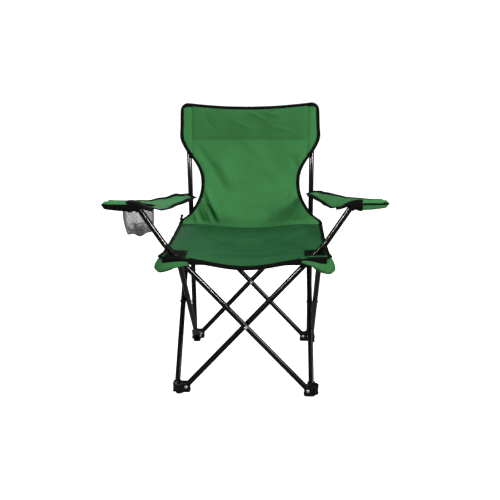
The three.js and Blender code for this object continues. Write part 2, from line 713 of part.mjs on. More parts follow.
function cupBag() {
  const low = -CUP_DEPTH;
  const bottomR = CUP_BOTTOM * CUP_R;
  return new THREE.LatheGeometry([
    new THREE.Vector2(0, low),
    new THREE.Vector2(bottomR, low),
    new THREE.Vector2(CUP_R, low + CUP_TAPER),
    new THREE.Vector2(CUP_R, 0),
    new THREE.Vector2(CUP_R - CUP_WALL, 0),
    new THREE.Vector2(CUP_R - CUP_WALL, low + CUP_TAPER + CLEARANCE),
    new THREE.Vector2(bottomR - CUP_WALL, low + CUP_WALL),
    new THREE.Vector2(0, low + CUP_WALL),
  ], CUP_SIDES).rotateX(QUARTER);
}

function cupRim() {
  const low = CLEARANCE;
  const inside = CUP_R - CUP_RIM_IN;
  const outside = CUP_R + CUP_RIM_OUT;
  return new THREE.LatheGeometry([
    new THREE.Vector2(inside, low),
    new THREE.Vector2(outside, low),
    new THREE.Vector2(outside, CUP_RIM),
    new THREE.Vector2(inside, CUP_RIM),
    new THREE.Vector2(inside, low),
  ], CUP_SIDES).rotateX(QUARTER);
}

add(chair, 'left_arm_pad', armPad(-1), 'cloth');
add(chair, 'right_arm_pad', armPad(1), 'cloth');
add(chair, 'cup_holder_bag', cupBag(), 'mesh').position.set(CUP_X, CUP_Y, CUP_TOP_Z);
add(chair, 'cup_holder_rim', cupRim(), 'binding').position.set(CUP_X, CUP_Y, CUP_TOP_Z);

export default chair;
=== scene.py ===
"""Folding camp chair: its looks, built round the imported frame. Metres, +Z up, and the sitter faces -Y."""
import json
import math

import bmesh
import bpy
import numpy as np
from mathutils import Matrix, Vector


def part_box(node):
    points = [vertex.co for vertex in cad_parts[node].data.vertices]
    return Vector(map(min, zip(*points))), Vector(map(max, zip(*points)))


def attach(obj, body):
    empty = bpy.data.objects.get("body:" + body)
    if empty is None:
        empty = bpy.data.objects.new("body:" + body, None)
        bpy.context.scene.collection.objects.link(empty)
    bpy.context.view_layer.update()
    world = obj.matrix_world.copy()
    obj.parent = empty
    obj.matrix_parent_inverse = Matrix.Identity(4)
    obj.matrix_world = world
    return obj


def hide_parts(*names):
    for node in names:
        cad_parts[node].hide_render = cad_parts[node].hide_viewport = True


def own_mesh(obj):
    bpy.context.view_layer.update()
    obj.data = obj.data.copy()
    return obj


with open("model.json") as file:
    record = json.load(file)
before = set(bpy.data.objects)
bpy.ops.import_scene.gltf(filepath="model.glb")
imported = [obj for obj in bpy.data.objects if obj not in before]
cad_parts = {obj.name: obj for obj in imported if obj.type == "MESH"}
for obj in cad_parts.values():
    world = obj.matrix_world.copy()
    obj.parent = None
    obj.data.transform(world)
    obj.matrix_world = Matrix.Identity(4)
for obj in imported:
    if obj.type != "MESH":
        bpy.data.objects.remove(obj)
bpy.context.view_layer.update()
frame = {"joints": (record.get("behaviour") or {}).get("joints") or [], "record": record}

# ---------------------------------------------------------------- sizes, from the frame

JOINT = {joint["name"]: joint for joint in frame["joints"]}


def pivot(name):
    return Vector(JOINT[name]["pos_m"])


PIVOT_HALF = -pivot("fold").x
FOOT_Z = pivot("fold").z
TOP_Z = pivot("rear_left_slider_hinge").z
FRAME_HALF = -pivot("front_cross").y
ROD_OFFSET = pivot("fold").y - FRAME_HALF
CORNER = FRAME_HALF - PIVOT_HALF
POST_LOW, POST_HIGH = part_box("left_back_post")
TUBE_R = (POST_HIGH.x - POST_LOW.x) / 2
TUBE_WALL = 0.001
ROD_END = 0.006
LEAN = math.atan2(2 * PIVOT_HALF, TOP_Z - FOOT_Z)
FOLD = math.radians(JOINT["fold"]["range_deg"][1])
QUARTER = math.pi / 2

ARM_LOWER = 0.064                # along the rod, from the top rivet to the first bend
ARM_BEND_X = 0.292
ARM_Z = pivot("left_arm_pad_hinge").z
ARM_TIP_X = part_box("right_arm_cap")[1].x - 0.0025
LOWER_BEND_R = 0.060
UPPER_BEND_R = 0.030

CLOTH = 0.001
TAPE_WIDTH = 0.011
TAPE_THICK = 0.0007
STITCH_PITCH = 0.0045
STITCH_LENGTH = 0.62 * STITCH_PITCH
STITCH_R = 0.00035

SIDES = ("front", "right", "rear", "left")           # each a quarter turn on from the last
CORNERS = ("front_left", "front_right", "rear_right", "rear_left")
HANDS = ((-1, "left"), (1, "right"))


# ---------------------------------------------------------------- camera

CAMERA_PLACE = (0.089, -1.955, 0.940)
CAMERA_YAW = 0.043
CAMERA_PITCH = 0.280
CAMERA_ROLL = -0.009
CAMERA_LENS = 48.1               # millimetres, for a sensor 36 mm wide


def add_camera():
    """Stands in front of the chair, a little to its right and above it, at the photograph's angle."""
    data = bpy.data.cameras.new("camera")
    data.lens = CAMERA_LENS
    data.sensor_width = 36
    camera = bpy.data.objects.new("camera", data)
    turn = Matrix.Rotation(CAMERA_YAW, 4, "Z") @ Matrix.Rotation(QUARTER - CAMERA_PITCH, 4, "X")
    turn = turn @ Matrix.Rotation(CAMERA_ROLL, 4, "Z")
    camera.matrix_world = Matrix.Translation(CAMERA_PLACE) @ turn
    bpy.context.scene.collection.objects.link(camera)
    bpy.context.scene.camera = camera


add_camera()


# ---------------------------------------------------------------- materials

class Nodes:
    """A node material being built: a Principled shader, with object coordinates in metres."""

    def __init__(self, name, colour, roughness, **settings):
        self.material = bpy.data.materials.new(name)
        self.material.use_nodes = True
        self.tree = self.material.node_tree
        self.shader = self.tree.nodes["Principled BSDF"]
        self.shader.inputs["Base Color"].default_value = (*colour, 1)
        self.shader.inputs["Roughness"].default_value = roughness
        for socket, value in settings.items():
            self.shader.inputs[socket.replace("_", " ")].default_value = value
        self.coordinates = self.add("ShaderNodeTexCoord").outputs["Object"]

    def add(self, kind, inputs=None, **properties):
        node = self.tree.nodes.new(kind)
        for key, value in properties.items():
            setattr(node, key, value)
        for key, value in (inputs or {}).items():
            if isinstance(value, bpy.types.NodeSocket):
                self.tree.links.new(value, node.inputs[key])
            else:
                node.inputs[key].default_value = value
        return node

    def stretched(self, scale):
        """Object coordinates scaled along each axis."""
        mapping = self.add("ShaderNodeMapping", {"Vector": self.coordinates, "Scale": scale})
        return mapping.outputs["Vector"]

    def noise(self, scale, detail=3.0, vector=None):
        inputs = {"Vector": vector or self.coordinates, "Scale": scale, "Detail": detail}
        return self.add("ShaderNodeTexNoise", inputs).outputs["Fac"]

    def wave(self, scale, direction):
        inputs = {"Vector": self.coordinates, "Scale": scale, "Distortion": 0.0}
        return self.add("ShaderNodeTexWave", inputs, bands_direction=direction).outputs["Fac"]

    def maths(self, operation, a, b=0.0):
        return self.add("ShaderNodeMath", {0: a, 1: b}, operation=operation).outputs[0]

    def ramp(self, value, low, high):
        """Maps value from 0..1 to low..high."""
        inputs = {"Value": value, "To Min": low, "To Max": high}
        return self.add("ShaderNodeMapRange", inputs).outputs["Result"]

    def sharpen(self, value, start, end):
        """Maps value from start..end to 0..1."""
        inputs = {"Value": value, "From Min": start, "From Max": end}
        return self.add("ShaderNodeMapRange", inputs).outputs["Result"]

    def colour_between(self, share, dark, light):
        node = self.add("ShaderNodeMix", {0: share, 6: (*dark, 1), 7: (*light, 1)}, data_type="RGBA")
        self.tree.links.new(node.outputs[2], self.shader.inputs["Base Color"])

    def roughness(self, share, low, high):
        self.tree.links.new(self.ramp(share, low, high), self.shader.inputs["Roughness"])

    def bump(self, height, distance, strength=1.0):
        inputs = {"Height": height, "Distance": distance, "Strength": strength}
        node = self.add("ShaderNodeBump", inputs)
        self.tree.links.new(node.outputs["Normal"], self.shader.inputs["Normal"])


def scaled(colour, factor):
    return tuple(channel * factor for channel in colour)


def painted_steel():
    """Gloss black stove enamel with faint orange peel and rubbed, dusty stretches."""
    nodes = Nodes("black_steel", (0.004, 0.0035, 0.003), 0.12, Specular_IOR_Level=0.4)
    dust = nodes.sharpen(nodes.noise(38, 5), 0.48, 0.72)
    nodes.colour_between(dust, (0.0025, 0.002, 0.0018), (0.007, 0.006, 0.0055))
    nodes.roughness(nodes.noise(60, 4), 0.11, 0.15)
    nodes.bump(nodes.noise(300, 2), 0.000003, 0.3)
    return nodes.material


def moulded_plastic():
    """Black nylon with a fine spark-eroded grain, greyer where it is scuffed."""
    nodes = Nodes("black_plastic", (0.004, 0.004, 0.005), 0.45, Specular_IOR_Level=0.3)
    scuff = nodes.sharpen(nodes.noise(120, 6), 0.5, 0.75)
    nodes.colour_between(scuff, (0.003, 0.003, 0.0035), (0.011, 0.011, 0.012))
    nodes.roughness(scuff, 0.38, 0.62)
    nodes.bump(nodes.noise(1800, 3), 0.00012)
    return nodes.material


def plated_steel():
    """Bright zinc plate with a fine turned grain and dull spots."""
    nodes = Nodes("bright_steel", (0.72, 0.72, 0.70), 0.25, Metallic=0.45)
    dull = nodes.sharpen(nodes.noise(420, 4), 0.45, 0.7)
    nodes.colour_between(dull, (0.80, 0.80, 0.78), (0.52, 0.51, 0.49))
    nodes.roughness(dull, 0.18, 0.42)
    nodes.bump(nodes.noise(1500, 2), 0.00003)
    return nodes.material


def woven_cloth(name, colour, along, across, pitch=0.0011):
    """Coated polyester in a plain weave. along and across are the two axes that the yarns run in."""
    nodes = Nodes(name, colour, 0.72, Specular_IOR_Level=0.10)
    turns = math.tau / pitch / 20                     # a wave texture has 20 / tau bands to the unit
    yarns = [nodes.wave(turns, axis) for axis in (along, across)]
    half = [nodes.wave(turns / 2, axis) for axis in (along, across)]
    over = nodes.maths("GREATER_THAN", nodes.maths("ADD", half[0], half[1]), 1.0)
    warp = nodes.maths("MULTIPLY", yarns[0], over)
    weft = nodes.maths("MULTIPLY", yarns[1], nodes.maths("SUBTRACT", 1.0, over))
    weave = nodes.maths("ADD", warp, weft)
    stretch = {"X": (900, 30, 30), "Y": (30, 900, 30), "Z": (30, 30, 900)}
    slubs = nodes.noise(1.0, 2, nodes.stretched(stretch[along]))
    blotch = nodes.noise(14, 5)
    tone = nodes.maths("ADD", nodes.maths("MULTIPLY", weave, 0.22), nodes.maths("MULTIPLY", slubs, 0.28))
    tone = nodes.maths("ADD", tone, nodes.maths("MULTIPLY", blotch, 0.5))
    nodes.colour_between(tone, scaled(colour, 0.74), scaled(colour, 1.26))
    nodes.roughness(blotch, 0.62, 0.82)
    relief = nodes.maths("ADD", nodes.maths("MULTIPLY", weave, 0.35), nodes.maths("MULTIPLY", slubs, 0.3))
    relief = nodes.maths("ADD", relief, nodes.noise(70, 3))
    nodes.bump(relief, 0.0006, 0.5)
    return nodes.material


def ribbed_tape():
    """Black polypropylene edge tape with fine cross ribs and lint."""
    nodes = Nodes("black_tape", (0.004, 0.005, 0.005), 0.8, Specular_IOR_Level=0.08)
    ribs = nodes.noise(1.0, 1, nodes.stretched((1400, 1400, 1400)))
    lint = nodes.sharpen(nodes.noise(260, 6), 0.52, 0.78)
    nodes.colour_between(lint, (0.0025, 0.0035, 0.0035), (0.010, 0.013, 0.012))
    nodes.roughness(nodes.noise(90, 3), 0.68, 0.9)
    nodes.bump(ribs, 0.0004, 0.7)
    return nodes.material


def sewing_thread():
    """Dark green bonded thread, with its twist as fine bands."""
    nodes = Nodes("thread", (0.012, 0.06, 0.022), 0.6)
    twist = nodes.wave(900, "DIAGONAL")
    nodes.colour_between(twist, (0.008, 0.040, 0.015), (0.020, 0.090, 0.034))
    nodes.bump(twist, 0.0001, 0.6)
    return nodes.material


def net_yarn(name, tone):
    """Grey polyester yarn of the cup holder's net. With a low tone it gives a near-black copy, used as
    painted shade.
    """
    nodes = Nodes(name, (tone, tone, tone), 0.7, Sheen_Weight=0.05)
    dark, light = scaled((1, 0.96, 1.05), 0.6 * tone), scaled((1, 0.98, 1.04), 1.5 * tone)
    nodes.colour_between(nodes.noise(500, 4), dark, light)
    nodes.bump(nodes.noise(2500, 2), 0.0002, 0.6)
    return nodes.material


GREEN = (0.042, 0.187, 0.060)
STEEL = painted_steel()
PLASTIC = moulded_plastic()
PLATED = plated_steel()
# The back, band and seat are one green cloth in lit and shaded copies. The back is painted lighter for the
# light that shines through its single layer. The band is painted darker where the doubled cloth lets less
# light through. The seat is painted darker still, as painted shade for the dimmer light on it.
BACK_CLOTH = woven_cloth("back_cloth", scaled(GREEN, 1.27), "X", "Z")
BAND_CLOTH = woven_cloth("band_cloth", scaled(GREEN, 1.03), "X", "Z")
SEAT_CLOTH = woven_cloth("seat_cloth", (0.026, 0.138, 0.049), "X", "Y")
POCKET_CLOTH = woven_cloth("pocket_cloth", (0.042, 0.185, 0.060), "X", "Z")
PAD_CLOTH = woven_cloth("pad_cloth", scaled(GREEN, 1.35), "X", "Y")
TAPE = ribbed_tape()
THREAD = sewing_thread()
NET = net_yarn("grey_mesh", 0.24)
SHADE_NET = net_yarn("grey_mesh_shade", 0.03)


# ---------------------------------------------------------------- mesh helpers

def add_mesh(name, points, faces, materials, sharp=40, face_materials=None):
    """A new object, smooth but for edges sharper than the given angle."""
    mesh = bpy.data.meshes.new(name)
    mesh.from_pydata([tuple(point) for point in points], [], [tuple(face) for face in faces])
    for material in materials:
        mesh.materials.append(material)
    if face_materials is not None:
        mesh.polygons.foreach_set("material_index", face_materials)
    mesh.validate()
    mesh.shade_smooth()
    mesh.set_sharp_from_angle(angle=math.radians(sharp))
    thing = bpy.data.objects.new(name, mesh)
    bpy.context.scene.collection.objects.link(thing)
    return thing


def settle(piece, body, slot, *nodes):
    """Ties a finished piece to its body and hides the CAD nodes that it stands for. Its slot is not used."""
    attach(piece, body)
    if nodes:
        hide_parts(*nodes)
    return piece


def baked(thing, sharp=50):
    """Applies a thing's modifiers, and shades it again."""
    graph = bpy.context.evaluated_depsgraph_get()
    mesh = bpy.data.meshes.new_from_object(thing.evaluated_get(graph))
    thing.modifiers.clear()
    thing.data = mesh
    mesh.shade_smooth()
    mesh.set_sharp_from_angle(angle=math.radians(sharp))
    return thing


def carve(thing, tool, operation="DIFFERENCE"):
    """Cuts tool out of thing, or joins it on, and deletes the tool."""
    modifier = thing.modifiers.new("cut", "BOOLEAN")
    modifier.object = tool
    modifier.operation = operation
    modifier.solver = "EXACT"
    baked(thing)
    bpy.data.objects.remove(tool)
    return thing


def round_edges(thing, width):
    modifier = thing.modifiers.new("bevel", "BEVEL")
    modifier.width = width
    modifier.segments = 2
    modifier.limit_method = "ANGLE"
    modifier.angle_limit = math.radians(40)
    return baked(thing, 35)


def arc(cx, cy, radius, start, end, steps):
    """Points on a circle from one angle to another, in quarter turns."""
    turns = [(start + (end - start) * i / steps) * QUARTER for i in range(steps + 1)]
    return [(cx + radius * math.cos(turn), cy + radius * math.sin(turn)) for turn in turns]


def band(a, b, count):
    """Faces between two rings of points, one starting at point a and the other at point b."""
    return [(a + i, a + (i + 1) % count, b + (i + 1) % count, b + i) for i in range(count)]


def prism(outline, low, high, turn=None):
    """A closed outline in X and Y carried up from low to high, then turned."""
    count = len(outline)
    points = [(x, y, z) for z in (low, high) for x, y in outline]
    faces = [tuple(range(count))[::-1], tuple(range(count, 2 * count))]
    thing = add_mesh("prism", points, faces + band(0, count, count), [PLASTIC])
    if turn is not None:
        thing.data.transform(turn)
    return thing


def cylinder(radius, low, high, sides=48, turn=None):
    return prism(arc(0, 0, radius, 0, 4, sides)[:-1], low, high, turn)


def revolve(profile, sides=32):
    """Points and faces of a profile of (radius, height) turned about Z. It starts and ends on the axis."""
    points = [(0, 0, profile[0][1])]
    for radius, height in profile[1:-1]:
        points += [(x, y, height) for x, y in arc(0, 0, radius, 0, 4, sides)[:-1]]
    points.append((0, 0, profile[-1][1]))
    top = len(points) - 1
    last = top - sides
    faces = [(0, 1 + (i + 1) % sides, 1 + i) for i in range(sides)]
    for start in range(1, last, sides):
        faces += band(start, start + sides, sides)
    faces += [(last + i, last + (i + 1) % sides, top) for i in range(sides)]
    return points, faces


def toward(place, direction):
    """The matrix that lays local Z along a direction, with the origin at a place."""
    turn = Vector((0, 0, 1)).rotation_difference(Vector(direction)).to_matrix().to_4x4()
    return Matrix.Translation(place) @ turn


# ---------------------------------------------------------------- tubes

def bend(before, corner, after, radius, steps=12):
    """Replaces the corner of a path by an arc."""
    back = (before - corner).normalized()
    on = (after - corner).normalized()
    half = back.angle(on) / 2
    centre = corner + (back + on).normalized() * radius / math.sin(half)
    start = (corner + back * radius / math.tan(half) - centre).normalized()
    end = (corner + on * radius / math.tan(half) - centre).normalized()
    return [centre + start.slerp(end, i / steps) * radius for i in range(steps + 1)]


def hollow_tube(name, path):
    """An open tube along a path, with its lips rounded over."""
    sides = 32
    lip = TUBE_WALL / 2
    steps = zip([path[0], *path], [*path[1:], path[-1]])
    tangents = [(after - before).normalized() for before, after in steps]
    side = tangents[0].orthogonal().normalized()
    rings = []
    for place, tangent in zip(path, tangents):
        side = (side - tangent * side.dot(tangent)).normalized()
        rings.append((place, side, tangent.cross(side), tangent))
    stations = [(rings[0], TUBE_R - lip, -lip), *[(ring, TUBE_R, 0) for ring in rings]]
    stations += [(rings[-1], TUBE_R - lip, lip), *[(ring, TUBE_R - TUBE_WALL, 0) for ring in reversed(rings)]]
    points = []
    faces = []
    for index, ((place, across, up, tangent), radius, shift) in enumerate(stations):
        for x, y in arc(0, 0, radius, 0, 4, sides)[:-1]:
            points.append(place + across * x + up * y + tangent * shift)
        faces += band((index + 1) % len(stations) * sides, index * sides, sides)
    return add_mesh(name, points, faces, [STEEL], 60)


def rod_path(foot, top, arm_side):
    """The centre line of a rod, carried on up into an arm post on the front."""
    along = (top - foot).normalized()
    start = foot - along * ROD_END
    if not arm_side:
        return [start, foot, (foot + top) / 2, top, top + along * ROD_END]
    lower = top + along * ARM_LOWER
    upper = Vector((arm_side * ARM_BEND_X, foot.y, ARM_Z))
    tip = Vector((arm_side * ARM_TIP_X, foot.y, ARM_Z))
    bends = bend(start, lower, upper, LOWER_BEND_R) + bend(lower, upper, tip, UPPER_BEND_R)
    return [start, foot, (foot + top) / 2, top, *bends, tip]


def add_rods():
    for index, side in enumerate(SIDES):
        turn = Matrix.Rotation(index * QUARTER, 4, "Z")
        for kind, lean_to in (("outer", -1), ("inner", 1)):
            y = -FRAME_HALF + lean_to * ROD_OFFSET
            foot = turn @ Vector((-lean_to * PIVOT_HALF, y, FOOT_Z))
            top = turn @ Vector((lean_to * PIVOT_HALF, y, TOP_Z))
            name = f"{side}_{kind}_rod"
            rod = hollow_tube(f"{name}_tube", rod_path(foot, top, lean_to if side == "front" else 0))
            settle(rod, name, "black_steel", name)


def add_posts():
    for side, word in HANDS:
        low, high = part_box(f"{word}_back_post")
        heights = [low.z + TUBE_WALL, TOP_Z, high.z - TUBE_WALL]
        path = [Vector((side * FRAME_HALF, FRAME_HALF, z)) for z in heights]
        body = f"rear_{word}_foot"
        settle(hollow_tube(f"{word}_post_tube", path), body, "black_steel", f"{word}_back_post")
        add_cap(f"{word}_post_cap", (0, 0, 1), body)


def add_cap(node, direction, body):
    """The plug of a tube's end, with a domed flange."""
    low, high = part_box(node)
    half = max(abs(Vector(direction).dot(high - low)) / 2, TUBE_WALL)
    plug = TUBE_R - TUBE_WALL - 0.0003
    flange = half - 0.0022
    profile = [(0, -half), (plug - 0.001, -half), (plug, 0.001 - half), (plug, flange)]
    profile += [(TUBE_R, flange), (TUBE_R, half - 0.0008), (TUBE_R - 0.0015, half), (0, half)]
    points, faces = revolve(profile, 40)
    cap = add_mesh(f"{node}_plug", points, faces, [PLASTIC], 35)
    cap.data.transform(toward((low + high) / 2, direction))
    settle(cap, body, "black_plastic", node)


add_rods()
add_posts()
add_cap("left_arm_cap", (-1, 0, 0), "front_outer_rod")
add_cap("right_arm_cap", (1, 0, 0), "front_inner_rod")


# ---------------------------------------------------------------- rivets and screws

WASHER_R = 0.0046
WASHER_THICK = 0.0004
RIVET_HEAD_R = 0.0038
RIVET_HEAD_Z = 0.0022
SHANK_R = 0.0022
SCREW_SEAT = 0.0106              # from the post's middle out to the underside of the screw's head
SCREW_PROFILE = (
    (0, -0.0085), (0.0012, -0.0080), (0.0018, -0.0068), (0.0018, 0.0),
    (0.0034, 0.0), (0.0034, 0.0008), (0.0028, 0.0015), (0.0016, 0.0019), (0, 0.0020),
)


def add_rivet(node, body):
    """Two domed heads on a shank, with a washer under each, along the node's longest side."""
    low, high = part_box(node)
    size = high - low
    axis = max(range(3), key=lambda i: size[i])
    half = size[axis] / 2
    base = half - RIVET_HEAD_Z
    crown = base + WASHER_THICK
    upper = [(SHANK_R, base), (WASHER_R, base), (WASHER_R, crown)]
    for turn in (QUARTER * i / 5 for i in range(5)):
        upper.append((RIVET_HEAD_R * math.cos(turn), crown + RIVET_HEAD_Z * math.sin(turn)))
    lower = [(radius, -height) for radius, height in upper]
    tip = half + WASHER_THICK
    points, faces = revolve([(0, tip), *upper[::-1], *lower, (0, -tip)], 24)
    rivet = add_mesh(f"{node}_pin", points, [face[::-1] for face in faces], [PLATED], 30)
    rivet.data.transform(toward((low + high) / 2, [1.0 if i == axis else 0.0 for i in range(3)]))
    settle(rivet, body, "bright_steel", node)


def add_screw(word, side):
    """A pan-head screw through the boss, with a cross recess."""
    node = f"{word}_post_screw"
    low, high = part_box(node)
    inward = Vector((-side, -1, 0)).normalized()
    points, faces = revolve(SCREW_PROFILE, 24)
    screw = add_mesh(f"{node}_pin", points, faces, [PLATED], 30)
    for index in (0, 1):
        turn = Matrix.Rotation(index * QUARTER, 4, "Z") @ Matrix.Rotation(QUARTER, 4, "X")
        slot = cylinder(0.0004, -0.0016, 0.0016, 4, turn)
        slot.data.transform(Matrix.Translation((0, 0, 0.0018)))
        carve(screw, slot)
    post = Vector((side * FRAME_HALF, FRAME_HALF, (low + high).z / 2))
    screw.data.transform(toward(post + inward * SCREW_SEAT, inward))
    settle(screw, f"rear_{word}_foot", "bright_steel", node)


def add_fasteners():
    for body, nodes in frame["record"]["behaviour"]["bodies"].items():
        for node in nodes:
            if "_rivet" in node:
                add_rivet(node, body)
    for side, word in HANDS:
        add_screw(word, side)


add_fasteners()

# ---------------------------------------------------------------- moulded corner pieces

BORE_R = TUBE_R + 0.0003
EAR_WALL = 0.0028
FORK_HALF = BORE_R + EAR_WALL
SLOT_START = 0.008
FOOT_FLOOR = 0.004
FOOT_TOP = 0.030
BOSS_R = 0.0112
COLLAR_R = BOSS_R + 0.0010
SOLE_CORNER = 0.006
SOLE_THICK = 0.005
SOLE_REACH = 0.0115              # past the rivets
SOLE_ROUND = 0.0032
FOOT_EAR_R = 0.010
TOP_EAR_R = 0.0095


def fork(offset, low, pivot_z, ear_radius):
    """The solid of one fork along +X: square below if it stands on the ground, round about its rivet."""
    start = heel = 0.004
    outline = [(start, low)]
    if low < pivot_z - ear_radius:
        outline += arc(CORNER + ear_radius - heel, low + heel, heel, -1, 0, 4)
        outline += arc(CORNER, pivot_z, ear_radius, 0, 1, 10)
    else:
        outline += arc(CORNER, pivot_z, ear_radius, -1, 1, 16)
    outline.append((start, pivot_z + ear_radius))
    upright = Matrix.Translation((0, offset + FORK_HALF, 0)) @ Matrix.Rotation(QUARTER, 4, "X")
    return prism(outline, 0, 2 * FORK_HALF, upright)


def box_tool(x0, x1, y0, y1, z0, z1):
    return prism([(x0, y0), (x1, y0), (x1, y1), (x0, y1)], z0, z1)


def both(thing, tool, operation):
    """Carves with a tool and with its copy a quarter turn on, one for each fork."""
    other = bpy.data.objects.new(tool.name, tool.data.copy())
    other.data.transform(Matrix.Rotation(QUARTER, 4, "Z"))
    bpy.context.scene.collection.objects.link(other)
    carve(thing, tool, operation)
    carve(thing, other, operation)


def slot_tool(offset, floor):
    return box_tool(SLOT_START, 0.06, offset - BORE_R, offset + BORE_R, floor, 0.06)


def round_sole(foot):
    """Rounds the outline of the face that a foot stands on."""
    shape = bmesh.new()
    shape.from_mesh(foot.data)
    flat = [edge for edge in shape.edges if all(abs(end.co.z) < 1e-5 for end in edge.verts)]
    rim = [edge for edge in flat if any(abs(face.normal.z) < 0.5 for face in edge.link_faces)]
    bmesh.ops.bevel(shape, geom=rim, offset=SOLE_ROUND, segments=4, profile=0.5, affect="EDGES",
                    clamp_overlap=False)
    shape.to_mesh(foot.data)
    shape.free()


def add_foot(name, index):
    """A foot: a socket on the corner with a collar, two forks, and a rounded sole under them."""
    foot = cylinder(BOSS_R, 0.0, FOOT_TOP)
    carve(foot, cylinder(COLLAR_R, 0.0235, 0.0290), "UNION")
    both(foot, fork(ROD_OFFSET, 0.0, FOOT_Z, FOOT_EAR_R), "UNION")
    both(foot, slot_tool(ROD_OFFSET, FOOT_FLOOR), "DIFFERENCE")
    end = CORNER + SOLE_REACH - SOLE_CORNER
    low, high = ROD_OFFSET - FORK_HALF - 0.0008, ROD_OFFSET + FORK_HALF + 0.0008
    outline = [(0, low), *arc(end, low + SOLE_CORNER, SOLE_CORNER, -1, 0, 6)]
    outline += [*arc(end, high - SOLE_CORNER, SOLE_CORNER, 0, 1, 6), (0, high)]
    both(foot, prism(outline, 0.0, SOLE_THICK), "UNION")
    carve(foot, cylinder(COLLAR_R, 0.0, SOLE_THICK), "UNION")
    carve(foot, cylinder(BORE_R, 0.0032, 0.05))
    round_sole(foot)
    round_edges(foot, 0.0007)
    foot.name = f"{name}_foot_moulding"
    turn_to_corner(foot, index, 0.0)
    settle(foot, f"{name}_foot", "black_plastic", f"{name}_foot")


def turn_to_corner(thing, index, z):
    turn = Matrix.Rotation(index * QUARTER, 4, "Z")
    corner = turn @ Vector((-FRAME_HALF, -FRAME_HALF, 0))
    thing.data.transform(Matrix.Translation(corner + Vector((0, 0, z))) @ turn)


def add_top_piece(name, kind, index, through):
    """A bracket or slider: a boss on the corner and two open forks. An arm post may run on through one."""
    piece = cylinder(BOSS_R - 0.0004, -0.015, 0.012)
    both(piece, fork(-ROD_OFFSET, -TOP_EAR_R, 0.0, TOP_EAR_R), "UNION")
    both(piece, slot_tool(-ROD_OFFSET, -0.06), "DIFFERENCE")
    if through:
        room = box_tool(-0.03, 0.06, -ROD_OFFSET - BORE_R, -ROD_OFFSET + BORE_R, -0.003, 0.06)
        if through == "y":
            room.data.transform(Matrix.Rotation(QUARTER, 4, "Z"))
        carve(piece, room)
    carve(piece, cylinder(BORE_R, -0.05, 0.05))
    round_edges(piece, 0.0006)
    piece.name = f"{name}_{kind}_moulding"
    turn_to_corner(piece, index, TOP_Z)
    settle(piece, f"{name}_{kind}", "black_plastic", f"{name}_{kind}")


def add_mouldings():
    arm_fork = {"front_left": "x", "front_right": "y"}
    for index, name in enumerate(CORNERS):
        add_foot(name, index)
        kind = "bracket" if name in arm_fork else "slider"
        add_top_piece(name, kind, index, arm_fork.get(name))


add_mouldings()

# ---------------------------------------------------------------- cloth helpers


def smooth(value, low, high):
    share = np.clip((value - low) / (high - low), 0, 1)
    return share * share * (3 - 2 * share)


def mix(a, b, share):
    return a + (b - a) * share


def hump(value, middle, width, power=2):
    """1 at the middle, falling off to 0 within about twice the width."""
    return np.exp(-(((value - middle) / width) ** power))


def spots(x, y, z):
    """Arrays of x, y and z as one array of points."""
    return np.stack(np.broadcast_arrays(x, y, z), axis=-1)


def outward(u, side):
    """How far out from the middle of the chair a cloth's u is, on either side."""
    return u if side > 0 else 1 - u


def distances(places):
    """How far along a line each of its places is."""
    return np.concatenate([[0], np.cumsum(np.linalg.norm(np.diff(places, axis=0), axis=1))])


def along_line(distance, lengths, places):
    """The places on a line at given distances. lengths says how far along its own places are."""
    return np.stack([np.interp(distance, lengths, column) for column in places.T], axis=-1)


def resample(route, count):
    """A route of (u, v) rows with the given number of even rows."""
    route = np.asarray(route, float)
    return along_line(np.linspace(0, 1, count), np.linspace(0, 1, len(route)), route)


def through_points(value, stops):
    """A smooth curve through a few (place, height) stops, level at neither end."""
    places, heights = (np.array(column, float) for column in zip(*stops))
    slopes = np.gradient(heights, places)
    value = np.clip(value, places[0], places[-1])
    index = np.clip(np.searchsorted(places, value, side="right") - 1, 0, len(places) - 2)
    span = places[index + 1] - places[index]
    t = (value - places[index]) / span
    h00, h10 = (1 + 2 * t) * (1 - t) ** 2, t * (1 - t) ** 2
    h01, h11 = t * t * (3 - 2 * t), t * t * (t - 1)
    return (h00 * heights[index] + h10 * span * slopes[index]
            + h01 * heights[index + 1] + h11 * span * slopes[index + 1])


def ripples(a, b, length_a, length_b, height, seed):
    """Soft random waves of about the given lengths along the two directions."""
    chance = np.random.RandomState(seed)
    waves = 14
    total = 0.0
    for _ in range(waves):
        turn = chance.uniform(0, math.tau)
        size = chance.uniform(0.6, 1.4) * math.tau
        phase = chance.uniform(0, math.tau)
        total = total + np.sin(size * (a * math.cos(turn) / length_a + b * math.sin(turn) / length_b) + phase)
    return height * total / math.sqrt(waves)


def creases(a, b, strokes):
    """Ridges (or with a negative height, valleys) along straight strokes that fade at both ends."""
    total = 0.0
    for start, end, width, height in strokes:
        along = np.array(end) - np.array(start)
        length = math.hypot(*along)
        along = along / length
        da, db = a - start[0], b - start[1]
        t = (da * along[0] + db * along[1]) / length
        off = da * along[1] - db * along[0]
        total = total + height * hump(off, 0, width) * hump(t, 0.5, 1 / 2.2, 4)
    return total


